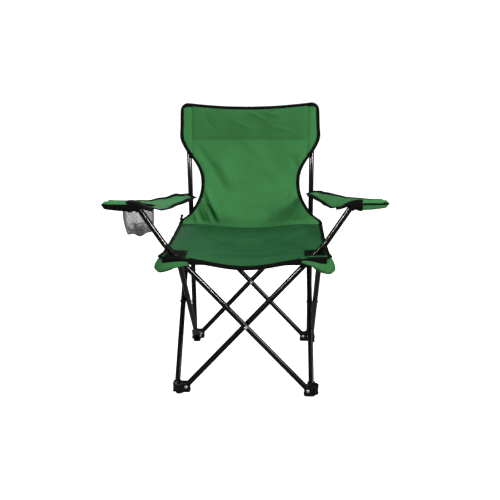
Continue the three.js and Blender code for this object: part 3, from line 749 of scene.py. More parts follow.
class Cloth:
    """A cloth surface: place(u, v) takes arrays from 0 to 1 and gives points in metres."""

    def __init__(self, place, thickness=CLOTH):
        self.place = place
        self.half = thickness / 2

    def at(self, u, v, lift=0.0):
        """Points of the surface, lifted along its normal."""
        u, v = np.broadcast_arrays(np.asarray(u, float), np.asarray(v, float))
        step = 1e-3
        ua, ub = np.clip(u - step, 0, 1), np.clip(u + step, 0, 1)
        va, vb = np.clip(v - step, 0, 1), np.clip(v + step, 0, 1)
        normal = np.cross(self.place(ub, v) - self.place(ua, v), self.place(u, vb) - self.place(u, va))
        normal /= np.maximum(np.linalg.norm(normal, axis=-1, keepdims=True), 1e-12)
        return self.place(u, v) + normal * lift

    def sheet(self, name, columns, rows, material):
        """The cloth itself, a closed sheet of its own thickness."""
        v, u = np.meshgrid(np.linspace(0, 1, rows + 1), np.linspace(0, 1, columns + 1), indexing="ij")
        points = np.concatenate([self.at(u, v, lift).reshape(-1, 3) for lift in (self.half, -self.half)])
        wide = columns + 1
        count = wide * (rows + 1)
        faces = []
        for row in range(rows):
            for column in range(columns):
                a = row * wide + column
                faces.append((a, a + 1, a + 1 + wide, a + wide))
                faces.append((a + count, a + wide + count, a + 1 + wide + count, a + 1 + count))
        rim = list(range(wide)) + [row * wide + columns for row in range(1, rows + 1)]
        rim += [rows * wide + column for column in range(columns - 1, -1, -1)]
        rim += [row * wide for row in range(rows - 1, 0, -1)]
        for a, b in zip(rim, rim[1:] + rim[:1]):
            faces.append((b, a, a + count, b + count))
        return add_mesh(name, points, faces, [material], 50)


class Seams:
    """Edge tape and stitches gathered into one mesh."""

    def __init__(self):
        self.points, self.faces, self.finish = [], [], []

    def take(self, points, faces, finish):
        base = len(self.points)
        self.points += [tuple(point) for point in np.asarray(points).reshape(-1, 3)]
        self.faces += [tuple(base + i for i in face) for face in faces]
        self.finish += [finish] * len(faces)

    def tape(self, cloth, edge, inner, steps, stitched=True):
        """Folds tape over the cloth from an edge to an inner line, each an array of (u, v) rows."""
        edge, inner = resample(edge, steps), resample(inner, steps)
        lift = cloth.half + TAPE_THICK
        profile = ((1, 0.2), (0.93, 1), (0.5, 1), (0.08, 1))     # share of the way in, and of the thickness
        rings = []
        for share, height in profile:
            rings.append(cloth.at(*mix(edge, inner, share).T, cloth.half + TAPE_THICK * height))
        past = cloth.at(*edge.T) - cloth.at(*mix(edge, inner, 0.2).T)
        past /= np.maximum(np.linalg.norm(past, axis=1, keepdims=True), 1e-12)
        for height, reach in ((0.7, 0.8), (0.0, 1.15), (-0.7, 0.8)):
            rings.append(cloth.at(*edge.T, lift * height) + past * TAPE_THICK * reach)
        for share, height in profile[::-1]:
            rings.append(cloth.at(*mix(edge, inner, share).T, -cloth.half - TAPE_THICK * height))
        grid = np.stack(rings, axis=1)
        across = grid.shape[1]
        faces = [face for i in range(steps - 1) for face in band(i * across, (i + 1) * across, across)]
        faces.append(tuple(range(across))[::-1])
        faces.append(tuple(range((steps - 1) * across, steps * across)))
        self.take(grid, faces, 0)
        if stitched:
            self.stitches(cloth, mix(edge, inner, 0.8), lift)

    def stitches(self, cloth, route, lift):
        """A row of lock stitches along a route of (u, v) rows, on the upper side."""
        places = cloth.at(*resample(route, 400).T, lift)
        lengths = distances(places)
        starts = (np.arange(int(lengths[-1] / STITCH_PITCH)) + 0.2) * STITCH_PITCH
        heads = along_line(starts, lengths, places)
        tails = along_line(starts + STITCH_LENGTH, lengths, places)
        for head, tail in zip(heads, tails):
            self.take(*stitch(Vector(head), Vector(tail)), 1)

    def build(self, name, body, slot, *nodes):
        """Makes the gathered parts into one piece."""
        piece = add_mesh(name, self.points, self.faces, [TAPE, THREAD], 50, self.finish)
        return settle(piece, body, slot, *nodes)


def stitch(head, tail):
    """One raised stitch: a short rod of four sides that tapers into the cloth at both ends."""
    along = (tail - head).normalized()
    side = along.orthogonal().normalized() * STITCH_R
    up = along.cross(side)
    ring = [side, up, -side, -up]
    points = [head, *[mix(head, tail, 0.25) + offset for offset in ring]]
    points += [*[mix(head, tail, 0.75) + offset for offset in ring], tail]
    faces = [(0, 1 + (i + 1) % 4, 1 + i) for i in range(4)] + band(1, 5, 4)
    return points, faces + [(5 + i, 5 + (i + 1) % 4, 9) for i in range(4)]


def line(u0, v0, u1, v1, count=80):
    return np.stack([np.linspace(u0, u1, count), np.linspace(v0, v1, count)], axis=1)


def gather(piece):
    """Gives a piece of cloth between the left and right rods a mesh of its own."""
    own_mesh(piece)


# ---------------------------------------------------------------- seat

SEAT_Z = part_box("left_corner_patch")[0].z - CLOTH / 2 - 0.0002
SEAT_FRONT_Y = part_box("seat_front_hem")[0].y
SEAT_REAR_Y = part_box("seat_panel_rear")[1].y
SEAT_STRIP_Y = pivot("seat_front_hinge").y
SEAT_SPLIT_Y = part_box("seat_panel_rear")[0].y
SEAT_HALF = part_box("seat_front_hem")[1].x + 0.001
SEAT_DRAW_IN = 0.003
SAG_FRONT = 0.027
SAG_MIDDLE = 0.034
SAG_REAR = 0.013
SAG_HALF = 0.205


def seat_half(y):
    part = np.clip((y - SEAT_FRONT_Y) / (SEAT_REAR_Y - SEAT_FRONT_Y), 0, 1)
    return SEAT_HALF - SEAT_DRAW_IN * np.sin(math.pi * part)


SEAT_CREASES = (
    ((-0.20, 0.13), (-0.06, 0.02), 0.012, 0.0035),
    ((-0.21, 0.09), (-0.09, -0.03), 0.010, -0.0030),
    ((-0.21, 0.02), (-0.02, -0.03), 0.012, 0.0022),
    ((-0.16, -0.19), (0.10, -0.16), 0.010, 0.0016),
    ((-0.17, -0.16), (-0.02, -0.09), 0.012, -0.0022),
    ((0.17, -0.16), (0.04, -0.10), 0.012, -0.0020),
    ((0.21, 0.12), (0.09, 0.03), 0.013, 0.0026),
    ((0.20, 0.03), (0.06, -0.01), 0.012, -0.0018),
    ((-0.10, -0.08), (0.12, -0.07), 0.010, 0.0016),
    ((-0.12, 0.06), (0.11, 0.08), 0.012, 0.0018),
)


def seat_place(x, y):
    """Points of the seat: level over the rods and hanging between them, with a low crown behind the strip."""
    across = np.cos(np.clip(np.abs(x) / SAG_HALF, 0, 1) * QUARTER) ** 2
    sag = mix(SAG_FRONT, SAG_MIDDLE, smooth(y, SEAT_FRONT_Y, SEAT_SPLIT_Y))
    sag = mix(sag, SAG_REAR, smooth(y, SEAT_SPLIT_Y, SEAT_REAR_Y))
    crown = 0.007 * hump(y, SEAT_STRIP_Y, 0.035) * across
    inside = smooth(np.abs(x), 0.225, 0.15) * smooth(y, SEAT_FRONT_Y, -0.15)
    wrinkle = creases(x, y, SEAT_CREASES) + ripples(x, y, 0.16, 0.05, 0.0007, 3)
    edge = ripples(x, y, 0.07, 0.07, 0.0010, 5) * smooth(np.abs(x), 0.17, 0.22) * smooth(y, -0.12, 0.0)
    return spots(x, y, SEAT_Z - sag * across + crown + wrinkle * inside + edge)


def seat_cloth(y0, y1):
    def place(u, v):
        y = mix(y0, y1, v)
        return seat_place((2 * u - 1) * seat_half(y), y)
    return Cloth(place)


HEM_TURN_R = 0.005
HEM_DROP = 0.011                 # the hem hangs this far below its curve at the corners
HEM_DROP_MIDDLE = 0.004
HEM_WIDTH = 0.0190
STRIP_CORNER_X = 0.158           # outside this the strip stays on its bracket as the chair folds
STRIP_CORNER_R = 0.016
STRIP_CORNER_WIDTH = 0.074
STRIP_LENGTH = HEM_DROP + HEM_TURN_R * QUARTER + SEAT_STRIP_Y - SEAT_FRONT_Y - HEM_TURN_R
HEM_TAPE = 0.0009


def strip_half(y, reach):
    """Half the strip's width, with its front corners rounded. reach is how far it is pulled out of square."""
    short = np.clip(SEAT_FRONT_Y + STRIP_CORNER_R - y, 0, STRIP_CORNER_R)
    return seat_half(y) + reach - STRIP_CORNER_R + np.sqrt(STRIP_CORNER_R ** 2 - short ** 2)


def corner_reach(side):
    """The front corners are dragged outwards, the left one more."""
    return 0.008 if side < 0 else 0.005


def strip_place(part):
    """A part of the front strip: the middle (0), or the corner on one side. v runs back from its hem."""
    def place(u, v):
        along = v * STRIP_LENGTH
        turn = np.clip((along - HEM_DROP) / HEM_TURN_R, 0, QUARTER)
        flat = np.clip(along - HEM_DROP - HEM_TURN_R * QUARTER, 0, 1)
        y = SEAT_FRONT_Y + HEM_TURN_R * (1 - np.cos(turn)) + flat
        if part:
            pulled = corner_reach(part) * smooth(y, SEAT_STRIP_Y, SEAT_FRONT_Y)
            x = part * mix(STRIP_CORNER_X, strip_half(y, pulled), outward(u, part))
        else:
            x = (2 * u - 1) * STRIP_CORNER_X
        hang = mix(HEM_DROP_MIDDLE, HEM_DROP, smooth(np.abs(x), 0.10, 0.157)) / HEM_DROP
        drop = HEM_TURN_R * (1 - np.sin(turn)) + np.clip(HEM_DROP - along, 0, HEM_DROP) * hang
        return seat_place(x, y) - spots(0, 0, drop)
    return place


def crossing(lean):
    """How far out an arm post passes through the seat at a given lean."""
    return PIVOT_HALF + (SEAT_Z - TOP_Z) * math.tan(lean)


def post_hole_tool(side, inner, outer):
    """A round-ended slot for an arm post between two distances from the middle of the chair."""
    y = -FRAME_HALF + side * ROD_OFFSET
    middle, half = (inner + outer) / 2, (outer - inner) / 2
    round_end = TUBE_R + 0.0009
    outline = [(side * (middle + half * a), y + round_end * b) for a, b in arc(0, 0, 1, 0, 4, 40)[:-1]]
    return prism(outline if side > 0 else outline[::-1], SEAT_Z - 0.02, SEAT_Z + 0.02)


TUBE_HALF_REST = TUBE_R / math.cos(LEAN) + 0.0008
HOLE_REST = (crossing(LEAN) - TUBE_HALF_REST, crossing(LEAN) + TUBE_HALF_REST)


def add_hem(cloth, part, body, word, facing):
    """Black tape over the front edge of a part of the strip, outside (facing 1) or inside (-1)."""
    def place(u, v):
        return cloth.at(u, v * HEM_WIDTH / STRIP_LENGTH, facing * 1.25 * CLOTH)
    face = "outside" if facing > 0 else "inside"
    tape = Cloth(place, HEM_TAPE).sheet(f"seat_hem_{word}_{face}", 40 if part else 130, 16, TAPE)
    settle(tape, body, "black_tape", *([] if part or facing < 0 else ["seat_front_hem"]))
    return tape


def add_strip():
    inner = crossing(LEAN - FOLD) - TUBE_R - 0.001
    parts = ((0, "front_left_bracket", "middle", 130), (-1, "front_left_bracket", "left", 40),
             (1, "front_right_bracket", "right", 40))
    for part, body, word, columns in parts:
        cloth = Cloth(strip_place(part))
        piece = cloth.sheet(f"seat_strip_{word}", columns, 40, SEAT_CLOTH)
        if part:
            carve(piece, post_hole_tool(part, inner, HOLE_REST[1]))
        settle(piece, body, "green_cloth", *([] if part else ["seat_front_strip"]))
        width = STRIP_CORNER_WIDTH if part else 2 * STRIP_CORNER_X
        hems = [add_hem(cloth, part, body, word, facing) for facing in (-1, 1)]
        if part:
            side_seam = Seams()
            outer, inward = outward(1, part), outward(1 - TAPE_WIDTH / width, part)
            start = (HEM_DROP + HEM_TURN_R * QUARTER + 0.002) / STRIP_LENGTH
            side_seam.tape(cloth, line(outer, start, outer, 1), line(inward, start, inward, 1), 40)
            side_seam.build(f"seat_side_tape_{word}", body, "black_tape")
        else:
            for cloth_piece in (piece, *hems):
                gather(cloth_piece)


def add_seat():
    halves = (("seat_front", SEAT_STRIP_Y, SEAT_SPLIT_Y, "seat_panel_front"),
              ("seat_rear", SEAT_SPLIT_Y, SEAT_REAR_Y, "seat_panel_rear"))
    for body, y0, y1, node in halves:
        cloth = seat_cloth(y0, y1)
        piece = settle(cloth.sheet(f"{body}_cloth", 150, 54, SEAT_CLOTH), body, "green_cloth", node)
        tape = Seams()
        reach = TAPE_WIDTH / SEAT_HALF / 2
        tape.tape(cloth, line(0, 0, 0, 1), line(reach, 0, reach, 1), 50)
        tape.tape(cloth, line(1, 1, 1, 0), line(1 - reach, 1, 1 - reach, 0), 50)
        gather(piece)
        gather(tape.build(f"{body}_side_tape", body, "black_tape"))


add_strip()
add_seat()

# ---------------------------------------------------------------- back

BACK_TOP_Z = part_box("back_panel")[1].z
BACK_LOW_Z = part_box("back_panel")[0].z
SLEEVE_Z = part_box("head_band")[0].z
SEAM_X = FRAME_HALF - TUBE_R - 0.006             # the line of stitches beside each post
BACK_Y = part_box("head_band")[1].y + CLOTH
BACK_CORNER_X = 0.2175
BACK_CORNER_R = 0.024
BACK_FORWARD = 0.0195            # how far its lower edge is ahead of the posts
BACK_BELLY = 0.010
BACK_EDGE = (
    (BACK_LOW_Z - 0.012, 0.236), (0.430, 0.229), (0.447, 0.206), (0.480, 0.180), (0.513, 0.1645),
    (0.552, 0.1585), (0.590, 0.164), (0.622, 0.180), (0.653, 0.203), (0.692, 0.2215), (0.735, 0.2205),
    (BACK_TOP_Z, BACK_CORNER_X),
)


def back_half(z):
    return through_points(z, BACK_EDGE)


def find_height(half):
    """The height above the waist at which the back is that wide."""
    heights = np.linspace(0.56, 0.70, 400)
    return float(np.interp(half, back_half(heights), heights))


FLAP_Z = find_height(SEAM_X)

BACK_CREASES = (
    ((-0.166, 0.548), (-0.112, 0.420), 0.007, -0.0060),
    ((-0.156, 0.556), (-0.098, 0.424), 0.010, 0.0055),
    ((-0.170, 0.672), (-0.118, 0.590), 0.012, -0.0040),
    ((-0.128, 0.610), (-0.080, 0.520), 0.014, -0.0035),
    ((-0.110, 0.640), (-0.050, 0.530), 0.018, 0.0035),
    ((-0.048, 0.680), (0.050, 0.600), 0.016, -0.0030),
    ((-0.02, 0.660), (0.10, 0.560), 0.020, 0.0025),
    ((0.150, 0.540), (0.098, 0.440), 0.012, 0.0040),
    ((0.165, 0.520), (0.128, 0.425), 0.009, -0.0040),
    ((0.125, 0.560), (0.06, 0.460), 0.018, 0.0030),
    ((-0.195, 0.470), (-0.165, 0.412), 0.008, 0.0050),
    ((-0.176, 0.476), (-0.150, 0.410), 0.006, -0.0055),
    ((-0.218, 0.440), (-0.185, 0.415), 0.008, -0.0040),
    ((-0.140, 0.470), (-0.125, 0.415), 0.009, 0.0035),
    ((0.06, 0.788), (0.02, 0.700), 0.012, -0.0022),
    ((-0.03, 0.785), (-0.05, 0.700), 0.016, 0.0022),
    ((0.135, 0.640), (0.165, 0.560), 0.012, -0.0030),
)


def back_surface_y(x, z):
    """How far back the cloth is: upright above, drawn forward where it meets the seat."""
    forward = BACK_FORWARD * smooth(z, 0.60, 0.445)
    belly = BACK_BELLY * np.cos(np.clip(np.abs(x) / 0.19, 0, 1) * QUARTER) ** 2
    belly = belly * smooth(z, 0.41, 0.47) * smooth(z, 0.80, 0.66)
    inside = smooth(np.abs(x), back_half(z), back_half(z) - 0.03)
    wrinkle = 1.5 * creases(x, z, BACK_CREASES) + ripples(x, z, 0.09, 0.16, 0.0014, 11)
    post = smooth(np.abs(x), SEAM_X - 0.004, SEAM_X + 0.001)
    bulge = 0.0018 * hump(np.abs(x), FRAME_HALF, 0.010) * smooth(z, 0.62, 0.69)
    valley = 0.0022 * hump(np.abs(x), SEAM_X, 0.004) * smooth(z, 0.60, 0.67)
    return BACK_Y - forward + belly - wrinkle * inside * (1 - post) - bulge + valley


def back_top(x):
    """Its top edge: highest at the posts, hanging between them, and round at the corners."""
    corner_x = BACK_CORNER_X - BACK_CORNER_R
    hang = BACK_TOP_Z + 0.0045 - 0.012 * (1 - np.clip(np.abs(x) / corner_x, 0, 1) ** 2)
    over = np.clip(np.abs(x) - corner_x, 0, BACK_CORNER_R)
    return hang - (BACK_CORNER_R - np.sqrt(np.maximum(BACK_CORNER_R ** 2 - over * over, 0)))


def back_low(x):
    """Its lower edge, along the seat's."""
    return seat_place(np.asarray(x, float), np.full(np.shape(x), SEAT_REAR_Y))[..., 2]


def back_panel_place(u, v):
    """The middle of the back, between the two seams; below them it runs out to its own edges."""
    side = 2 * u - 1
    z = mix(BACK_LOW_Z - 0.010, BACK_TOP_Z, v)
    for _ in range(2):
        limit = SEAM_X + smooth(z, FLAP_Z, FLAP_Z - 0.001)
        x = side * np.minimum(back_half(z), limit)
        low = back_low(x)
        z = mix(low, back_top(x), v)
    x = side * np.where(z > FLAP_Z, SEAM_X, back_half(z))
    y = mix(SEAT_REAR_Y, back_surface_y(x, z), smooth(z - low, -0.002, 0.012))
    return spots(x, y, z)


def height_share(height, side):
    """The v at which the back's edge has that height."""
    shares = np.linspace(0, 1, 800)
    edge = back_panel_place(np.full(800, outward(1.0, side)), shares)[:, 2]
    return float(np.interp(height, edge, shares))


def side_line(u, v):
    """Rows of (u, v), for a line along a side of a cloth."""
    return np.stack(np.broadcast_arrays(u, v), axis=1)


def add_back():
    cloth = Cloth(back_panel_place)
    panel = cloth.sheet("back_cloth", 150, 150, BACK_CLOTH)
    settle(panel, "rear_left_foot", "green_cloth", "back_panel")
    tape = Seams()
    for side in (-1, 1):
        edge = outward(1.0, side)
        v = np.linspace(0, height_share(FLAP_Z + 0.022, side), 140)
        z = back_panel_place(v * 0 + edge, v)[:, 2]
        above = z > FLAP_Z
        half = np.where(above, SEAM_X, back_half(z))
        taken = np.clip(back_half(z) - SEAM_X, 0, TAPE_WIDTH) * above
        reach = np.maximum(TAPE_WIDTH - taken, 0.0002) / 2 / half
        tape.tape(cloth, side_line(edge, v), side_line(np.abs(edge - reach), v), 120)
    top = TAPE_WIDTH / 0.38
    tape.tape(cloth, line(1, 1, 0, 1), line(1, 1 - top, 0, 1 - top), 120)
    for side in (0.004, 0.996):
        tape.stitches(cloth, line(side, height_share(FLAP_Z, -1), side, 1), CLOTH / 2)
    tape.stitches(cloth, line(0.03, 0.012, 0.97, 0.012), CLOTH / 2 + 0.0002)
    binding = tape.build("back_tape", "rear_left_foot", "black_tape", "back_binding")
    for piece in (panel, binding):
        gather(piece)


BAND_CREASES = (
    ((-0.02, 0.788), (0.06, 0.745), 0.006, 0.0022),
    ((0.02, 0.780), (0.10, 0.765), 0.005, 0.0020),
    ((-0.06, 0.755), (0.01, 0.720), 0.007, 0.0020),
    ((0.05, 0.735), (0.14, 0.715), 0.006, 0.0018),
    ((-0.15, 0.770), (-0.11, 0.720), 0.007, -0.0016),
)


def band_place(u, v):
    """The doubled cloth across the head, just in front of the panel."""
    x = (2 * u - 1) * (SEAM_X - 0.001)
    z = mix(SLEEVE_Z, back_top(x) - 0.0085, v)
    inside = smooth(np.abs(x), SEAM_X, SEAM_X - 0.02) * smooth(v, 0, 0.15) * smooth(v, 1, 0.85)
    rumple = creases(x, z, BAND_CREASES) * inside
    return spots(x, back_surface_y(x, z) - 1.15 * CLOTH - 0.001 * inside - rumple, z)


def add_head_band():
    cloth = Cloth(band_place)
    piece = settle(cloth.sheet("head_band_cloth", 120, 40, BAND_CLOTH), "rear_left_foot", "green_cloth",
                   "head_band")
    seam = Seams()
    for height in (0.025, 0.075):
        seam.stitches(cloth, line(0, height, 1, height), CLOTH / 2 + 0.0001)
    stitches = seam.build("head_band_stitches", "rear_left_foot", "green_cloth")
    for thing in (piece, stitches):
        gather(thing)


def flap_place(side):
    """The cloth outside a seam: it crosses in front of its post and runs to the edge."""
    def place(u, v):
        across = outward(u, side)
        z = mix(FLAP_Z, back_top(mix(SEAM_X, BACK_CORNER_X, across)), v)
        x = side * mix(SEAM_X, back_half(z), across)
        return spots(x, back_surface_y(x, z), z)
    return place


def sleeve_place(side):
    """The rear half of a post's sleeve, from the seam round behind the post to the edge."""
    def place(u, v):
        across = outward(u, side)
        z = mix(SLEEVE_Z, back_top(mix(SEAM_X, BACK_CORNER_X, across)) - 0.0005, v)
        x = mix(SEAM_X + 0.001, back_half(z) - 0.001, across)
        behind = FRAME_HALF + TUBE_R + 0.0022
        round_post = hump(x, FRAME_HALF, 0.0135, 6) * (1 - 0.75 * smooth(z, 0.785, 0.800))
        return spots(side * x, mix(back_surface_y(x, z) + 1.3 * CLOTH, behind, round_post), z)
    return place


def add_sleeves():
    for side, word in HANDS:
        body = f"rear_{word}_foot"
        flap = Cloth(flap_place(side))
        piece = settle(flap.sheet(f"{word}_sleeve_front", 24, 110, BACK_CLOTH), body, "green_cloth")
        rear = Cloth(sleeve_place(side))
        behind = settle(rear.sheet(f"{word}_sleeve_rear", 40, 60, BACK_CLOTH), body, "green_cloth")
        tape = Seams()
        edge, inner, seam = (outward(share, side) for share in (1, 0.74, 0))
        v = np.linspace(0.004, 1, 120)
        width = back_half(mix(FLAP_Z, back_top(BACK_CORNER_X), v)) - SEAM_X
        reach = np.clip(TAPE_WIDTH / np.maximum(width, 1e-5), 0, 1)
        tape.tape(flap, side_line(edge, v), side_line(mix(edge, seam, reach), v), 120)
        top = TAPE_WIDTH / 0.17
        tape.tape(flap, line(edge, 1, seam, 1), line(inner, 1 - top, seam, 1 - top), 30, stitched=False)
        near_seam = mix(seam, edge, 0.06)
        tape.stitches(flap, line(near_seam, 0.05, near_seam, 1), CLOTH / 2)
        tape.stitches(rear, line(0.02, 0.04, 0.98, 0.04), CLOTH / 2)
        tape.build(f"{word}_sleeve_tape", body, "black_tape")


def tape_end_place(u, v):
    """A loose end of edge tape, folded over at the rear left corner of the seat."""
    x = -back_half(BACK_LOW_Z + 0.012) + 0.003 - 0.009 * (1 - u) + 0.002 * np.sin(3 * math.pi * v)
    y = SEAT_REAR_Y - 0.005 - 0.007 * np.sin(1.5 * math.pi * v) + 0.003 * u
    return spots(x, y, BACK_LOW_Z + 0.026 - 0.024 * v + 0.004 * u)


def add_tape_end():
    piece = Cloth(tape_end_place, 0.0012).sheet("left_tape_end", 10, 36, TAPE)
    settle(piece, "rear_left_foot", "black_tape")
    gather(piece)


add_back()
add_tape_end()
add_head_band()
add_sleeves()

# ---------------------------------------------------------------- corner pockets and patches

POCKET_INNER = 0.152
POCKET_BULGE = 0.0165
POCKET_SQUARE = 7                # the power of its rounded-square outline
POCKET_TUCK = 0.022              # how far its lower edge turns in
PATCH_INNER = 0.163
PATCH_OUTER = 0.2195
POCKET_CREASES = (
    ((0.50, 0.15), (0.60, 0.85), 0.035, -0.0030),
    ((0.40, 0.20), (0.47, 0.90), 0.050, 0.0016),
)
LEFT_DEPTH = ((0, 0.020), (0.30, 0.029), (0.52, 0.0425), (0.72, 0.036), (1, 0.024))
RIGHT_DEPTH = ((0, 0.012), (0.25, 0.024), (0.42, 0.0415), (0.68, 0.0430), (1, 0.030))


def pocket_place(side):
    """A quarter bowl under the seat's corner: along its front, round the corner and back along its side."""
    reach_x = SEAT_HALF - 0.001 - POCKET_INNER
    reach_y = -SEAT_FRONT_Y - 0.0018 - POCKET_INNER
    depth_stops = LEFT_DEPTH if side < 0 else RIGHT_DEPTH

    def place(u, v):
        across = outward(u, side)
        turn = across * QUARTER
        reach = (np.cos(turn) / reach_y) ** POCKET_SQUARE + (np.sin(turn) / reach_x) ** POCKET_SQUARE
        reach = reach ** (-1 / POCKET_SQUARE)
        middle = np.sqrt(np.clip(np.sin(2 * turn), 0, 1))
        start = mix(0.16, 0.02, smooth(across, 0.35, 0.62))
        swell = np.sin(math.pi * np.clip((v - start) / (0.90 - start), 0, 1))
        reach = reach + middle * (POCKET_BULGE * swell - POCKET_TUCK * smooth(v, 0.78, 1.0))
        depth = through_points(across, depth_stops)
        down = np.sin(QUARTER * np.clip(v / 0.86, 0, 1)) - 0.10 * smooth(v, 0.88, 1.0)
        fold = creases(across, v, POCKET_CREASES)
        fold = fold + ripples(across, v, 0.5, 0.9, 0.0009, 21 if side < 0 else 22)
        reach = reach + fold * np.sin(math.pi * np.clip(v, 0, 1))
        y = -POCKET_INNER - reach * np.cos(turn)
        draw = SEAT_HALF - seat_half(y)
        drag = corner_reach(side) * smooth(y, SEAT_STRIP_Y, SEAT_FRONT_Y)
        x = side * (POCKET_INNER + (reach + drag - draw) * np.sin(turn))
        return spots(x, y, SEAT_Z - 0.0012 - depth * down)
    return place


def add_pockets():
    for side, word in HANDS:
        cloth = Cloth(pocket_place(side))
        body = f"front_{word}_bracket"
        piece = settle(cloth.sheet(f"{word}_pocket_cloth", 84, 32, POCKET_CLOTH), body, "light_green_cloth",
                       f"front_{word}_pocket")
        seams = Seams()
        for height in (0.10, 0.93):
            seams.stitches(cloth, line(0.02, height, 0.98, height), CLOTH / 2)
        seams.build(f"{word}_pocket_stitches", body, "light_green_cloth")


def patch_place(side):
    """The reinforcement where an arm post comes up through the seat."""
    front, rear = (SEAT_FRONT_Y + 0.006, -0.156) if side < 0 else (-0.2045, -0.150)

    def place(u, v):
        x = side * mix(PATCH_INNER, PATCH_OUTER, outward(u, side))
        return seat_place(x, mix(front, rear, v)) + np.array([0, 0, 1.5 * CLOTH])
    return place


def add_patches():
    """A black patch with a hole and a square of stitches where each arm post comes up through the seat."""
    for side, word in HANDS:
        cloth = Cloth(patch_place(side))
        body = f"front_{word}_bracket"
        patch = cloth.sheet(f"{word}_patch_cloth", 36, 36, TAPE)
        carve(patch, post_hole_tool(side, *HOLE_REST))
        settle(patch, body, "black_tape", f"{word}_corner_patch")
        seams = Seams()
        corners = ((0.07, 0.07), (0.93, 0.07), (0.93, 0.93), (0.07, 0.93), (0.07, 0.07))
        for (u0, v0), (u1, v1) in zip(corners, corners[1:]):
            seams.stitches(cloth, line(u0, v0, u1, v1), CLOTH / 2)
        stitches = seams.build(f"{word}_patch_stitches", body, "black_tape")
        for piece in (patch, stitches):
            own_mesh(piece)


add_pockets()
add_patches()

# ---------------------------------------------------------------- arm pads

PAD_LOW, PAD_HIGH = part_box("right_arm_pad")
PAD_REAR_Y = PAD_HIGH.y
PAD_INNER = (
    (-0.218, 0.249), (-0.15, 0.237), (-0.05, 0.219), (0.05, 0.200), (0.13, 0.188), (PAD_REAR_Y, 0.181),
)
PAD_OUTER = (
    (-0.218, 0.3685), (-0.150, 0.3745), (-0.105, 0.3760), (-0.082, 0.3600), (-0.062, 0.3360), (-0.02, 0.3000),
    (0.03, 0.2720), (0.12, 0.2300), (PAD_REAR_Y, 0.2110),
)
PAD_TOP_Z = ARM_Z + TUBE_R + 0.0016
PAD_OUTER_DROP = (
    (-0.218, 0), (-0.186, 0.001), (-0.13, 0.016), (-0.06, 0.031), (0.02, 0.042), (0.10, 0.046),
    (0.20, 0.060), (PAD_REAR_Y, 0.064),
)
PAD_INNER_DROP = (
    (-0.218, 0.018), (-0.15, 0.031), (-0.05, 0.044), (0.05, 0.053), (0.12, 0.061), (0.20, 0.073),
    (PAD_REAR_Y, 0.078),
)
PAD_FRONT_R = TUBE_R + 0.0026    # the pad's turn over the tube
SLEEVE_START_X = 0.312
PAD_LEVEL = 0.080                # behind the tube, the pad hangs freely from here
PATCH_INSET = 0.0008
PATCH_THICK = 0.0009
SLEEVE_TIP = -0.0118             # past the tube's tip
WING_SAG = 0.008
PAD_FIXED = 0.012                # behind the tube, the pad's tilt across starts to change from here
WRAP_SAG = ((-0.012, 0), (0.002, 0.35), (0.05, 1), (0.07, 1), (0.085, 0.3), (0.10, 0))


def tube_y(side):
    return -FRAME_HALF + side * ROD_OFFSET


def pad_front_y(side):
    return tube_y(side) - TUBE_R - 0.0022


def pad_height(side, across, y):
    """Level over the tube, and slack from there to the back post, with its inner edge the lower one."""
    behind = smooth(y, tube_y(side) + PAD_FIXED, tube_y(side) + PAD_LEVEL)
    bank = mix(smooth(across, 0, 0.5), across, behind)
    drop = mix(through_points(y, PAD_INNER_DROP), through_points(y, PAD_OUTER_DROP), bank)
    if side > 0:
        drop = drop - 0.009 * smooth(y, -0.20, 0.02) - 0.004 * (1 - bank)
    ahead = np.clip((tube_y(side) - y) / PAD_FRONT_R, 0, 0.97)
    return PAD_TOP_Z - drop - PAD_FRONT_R * (1 - np.sqrt(1 - ahead * ahead)) * 0.8


def pad_place(side):
    def place(u, v):
        y = mix(pad_front_y(side), PAD_REAR_Y, v)
        across = outward(u, side)
        x = mix(through_points(y, PAD_INNER), through_points(y, PAD_OUTER), across)
        ease = smooth(y, -0.195, -0.12) * smooth(y, 0.22, 0.12)
        seed = 31 if side < 0 else 32
        wave = ripples(y, y * 0, 0.13, 1, 0.0030, seed) * ease
        x = x + wave * (1 - across) ** 2
        curl = 0.003 * hump(across, 1, 0.12) - 0.007 * hump(across, 0, 0.09)
        rumple = ripples(x, y, 0.06, 0.10, 0.0011, seed + 2) * ease
        trough = -0.003 * np.sin(math.pi * across) * smooth(y, -0.1, 0.0) * smooth(y, 0.2, 0.1)
        return spots(side * x, y, pad_height(side, across, y) + curl * ease + rumple + trough)
    return place


def pad_spot(side, x, y):
    """The (u, v) of a place on a pad."""
    inner, outer = through_points(y, PAD_INNER), through_points(y, PAD_OUTER)
    across = (side * x - inner) / (outer - inner)
    v = (y - pad_front_y(side)) / (PAD_REAR_Y - pad_front_y(side))
    return np.stack([outward(across, side), v], axis=-1)


def close_up(piece):
    """Gives a piece of a pad a mesh of its own."""
    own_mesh(piece)


CUP_LOW, CUP_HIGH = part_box("cup_holder_bag")
CUP = (CUP_LOW + CUP_HIGH) / 2
CUP_R = (CUP_HIGH.x - CUP_LOW.x) / 2


PAD_TAPE = 0.0085


def circle(radius, turn):
    return CUP.x + radius * np.cos(turn), CUP.y + radius * np.sin(turn)


def circle_on_pad(radius):
    return pad_spot(-1, *circle(radius, np.linspace(0, math.tau, 97)))


def cut_post_hole(piece, side):
    """Cuts the hole that a back post runs through."""
    post = Matrix.Translation((side * FRAME_HALF, FRAME_HALF, 0))
    carve(piece, cylinder(TUBE_R + 0.0014, 0.4, 0.6, 40, post))


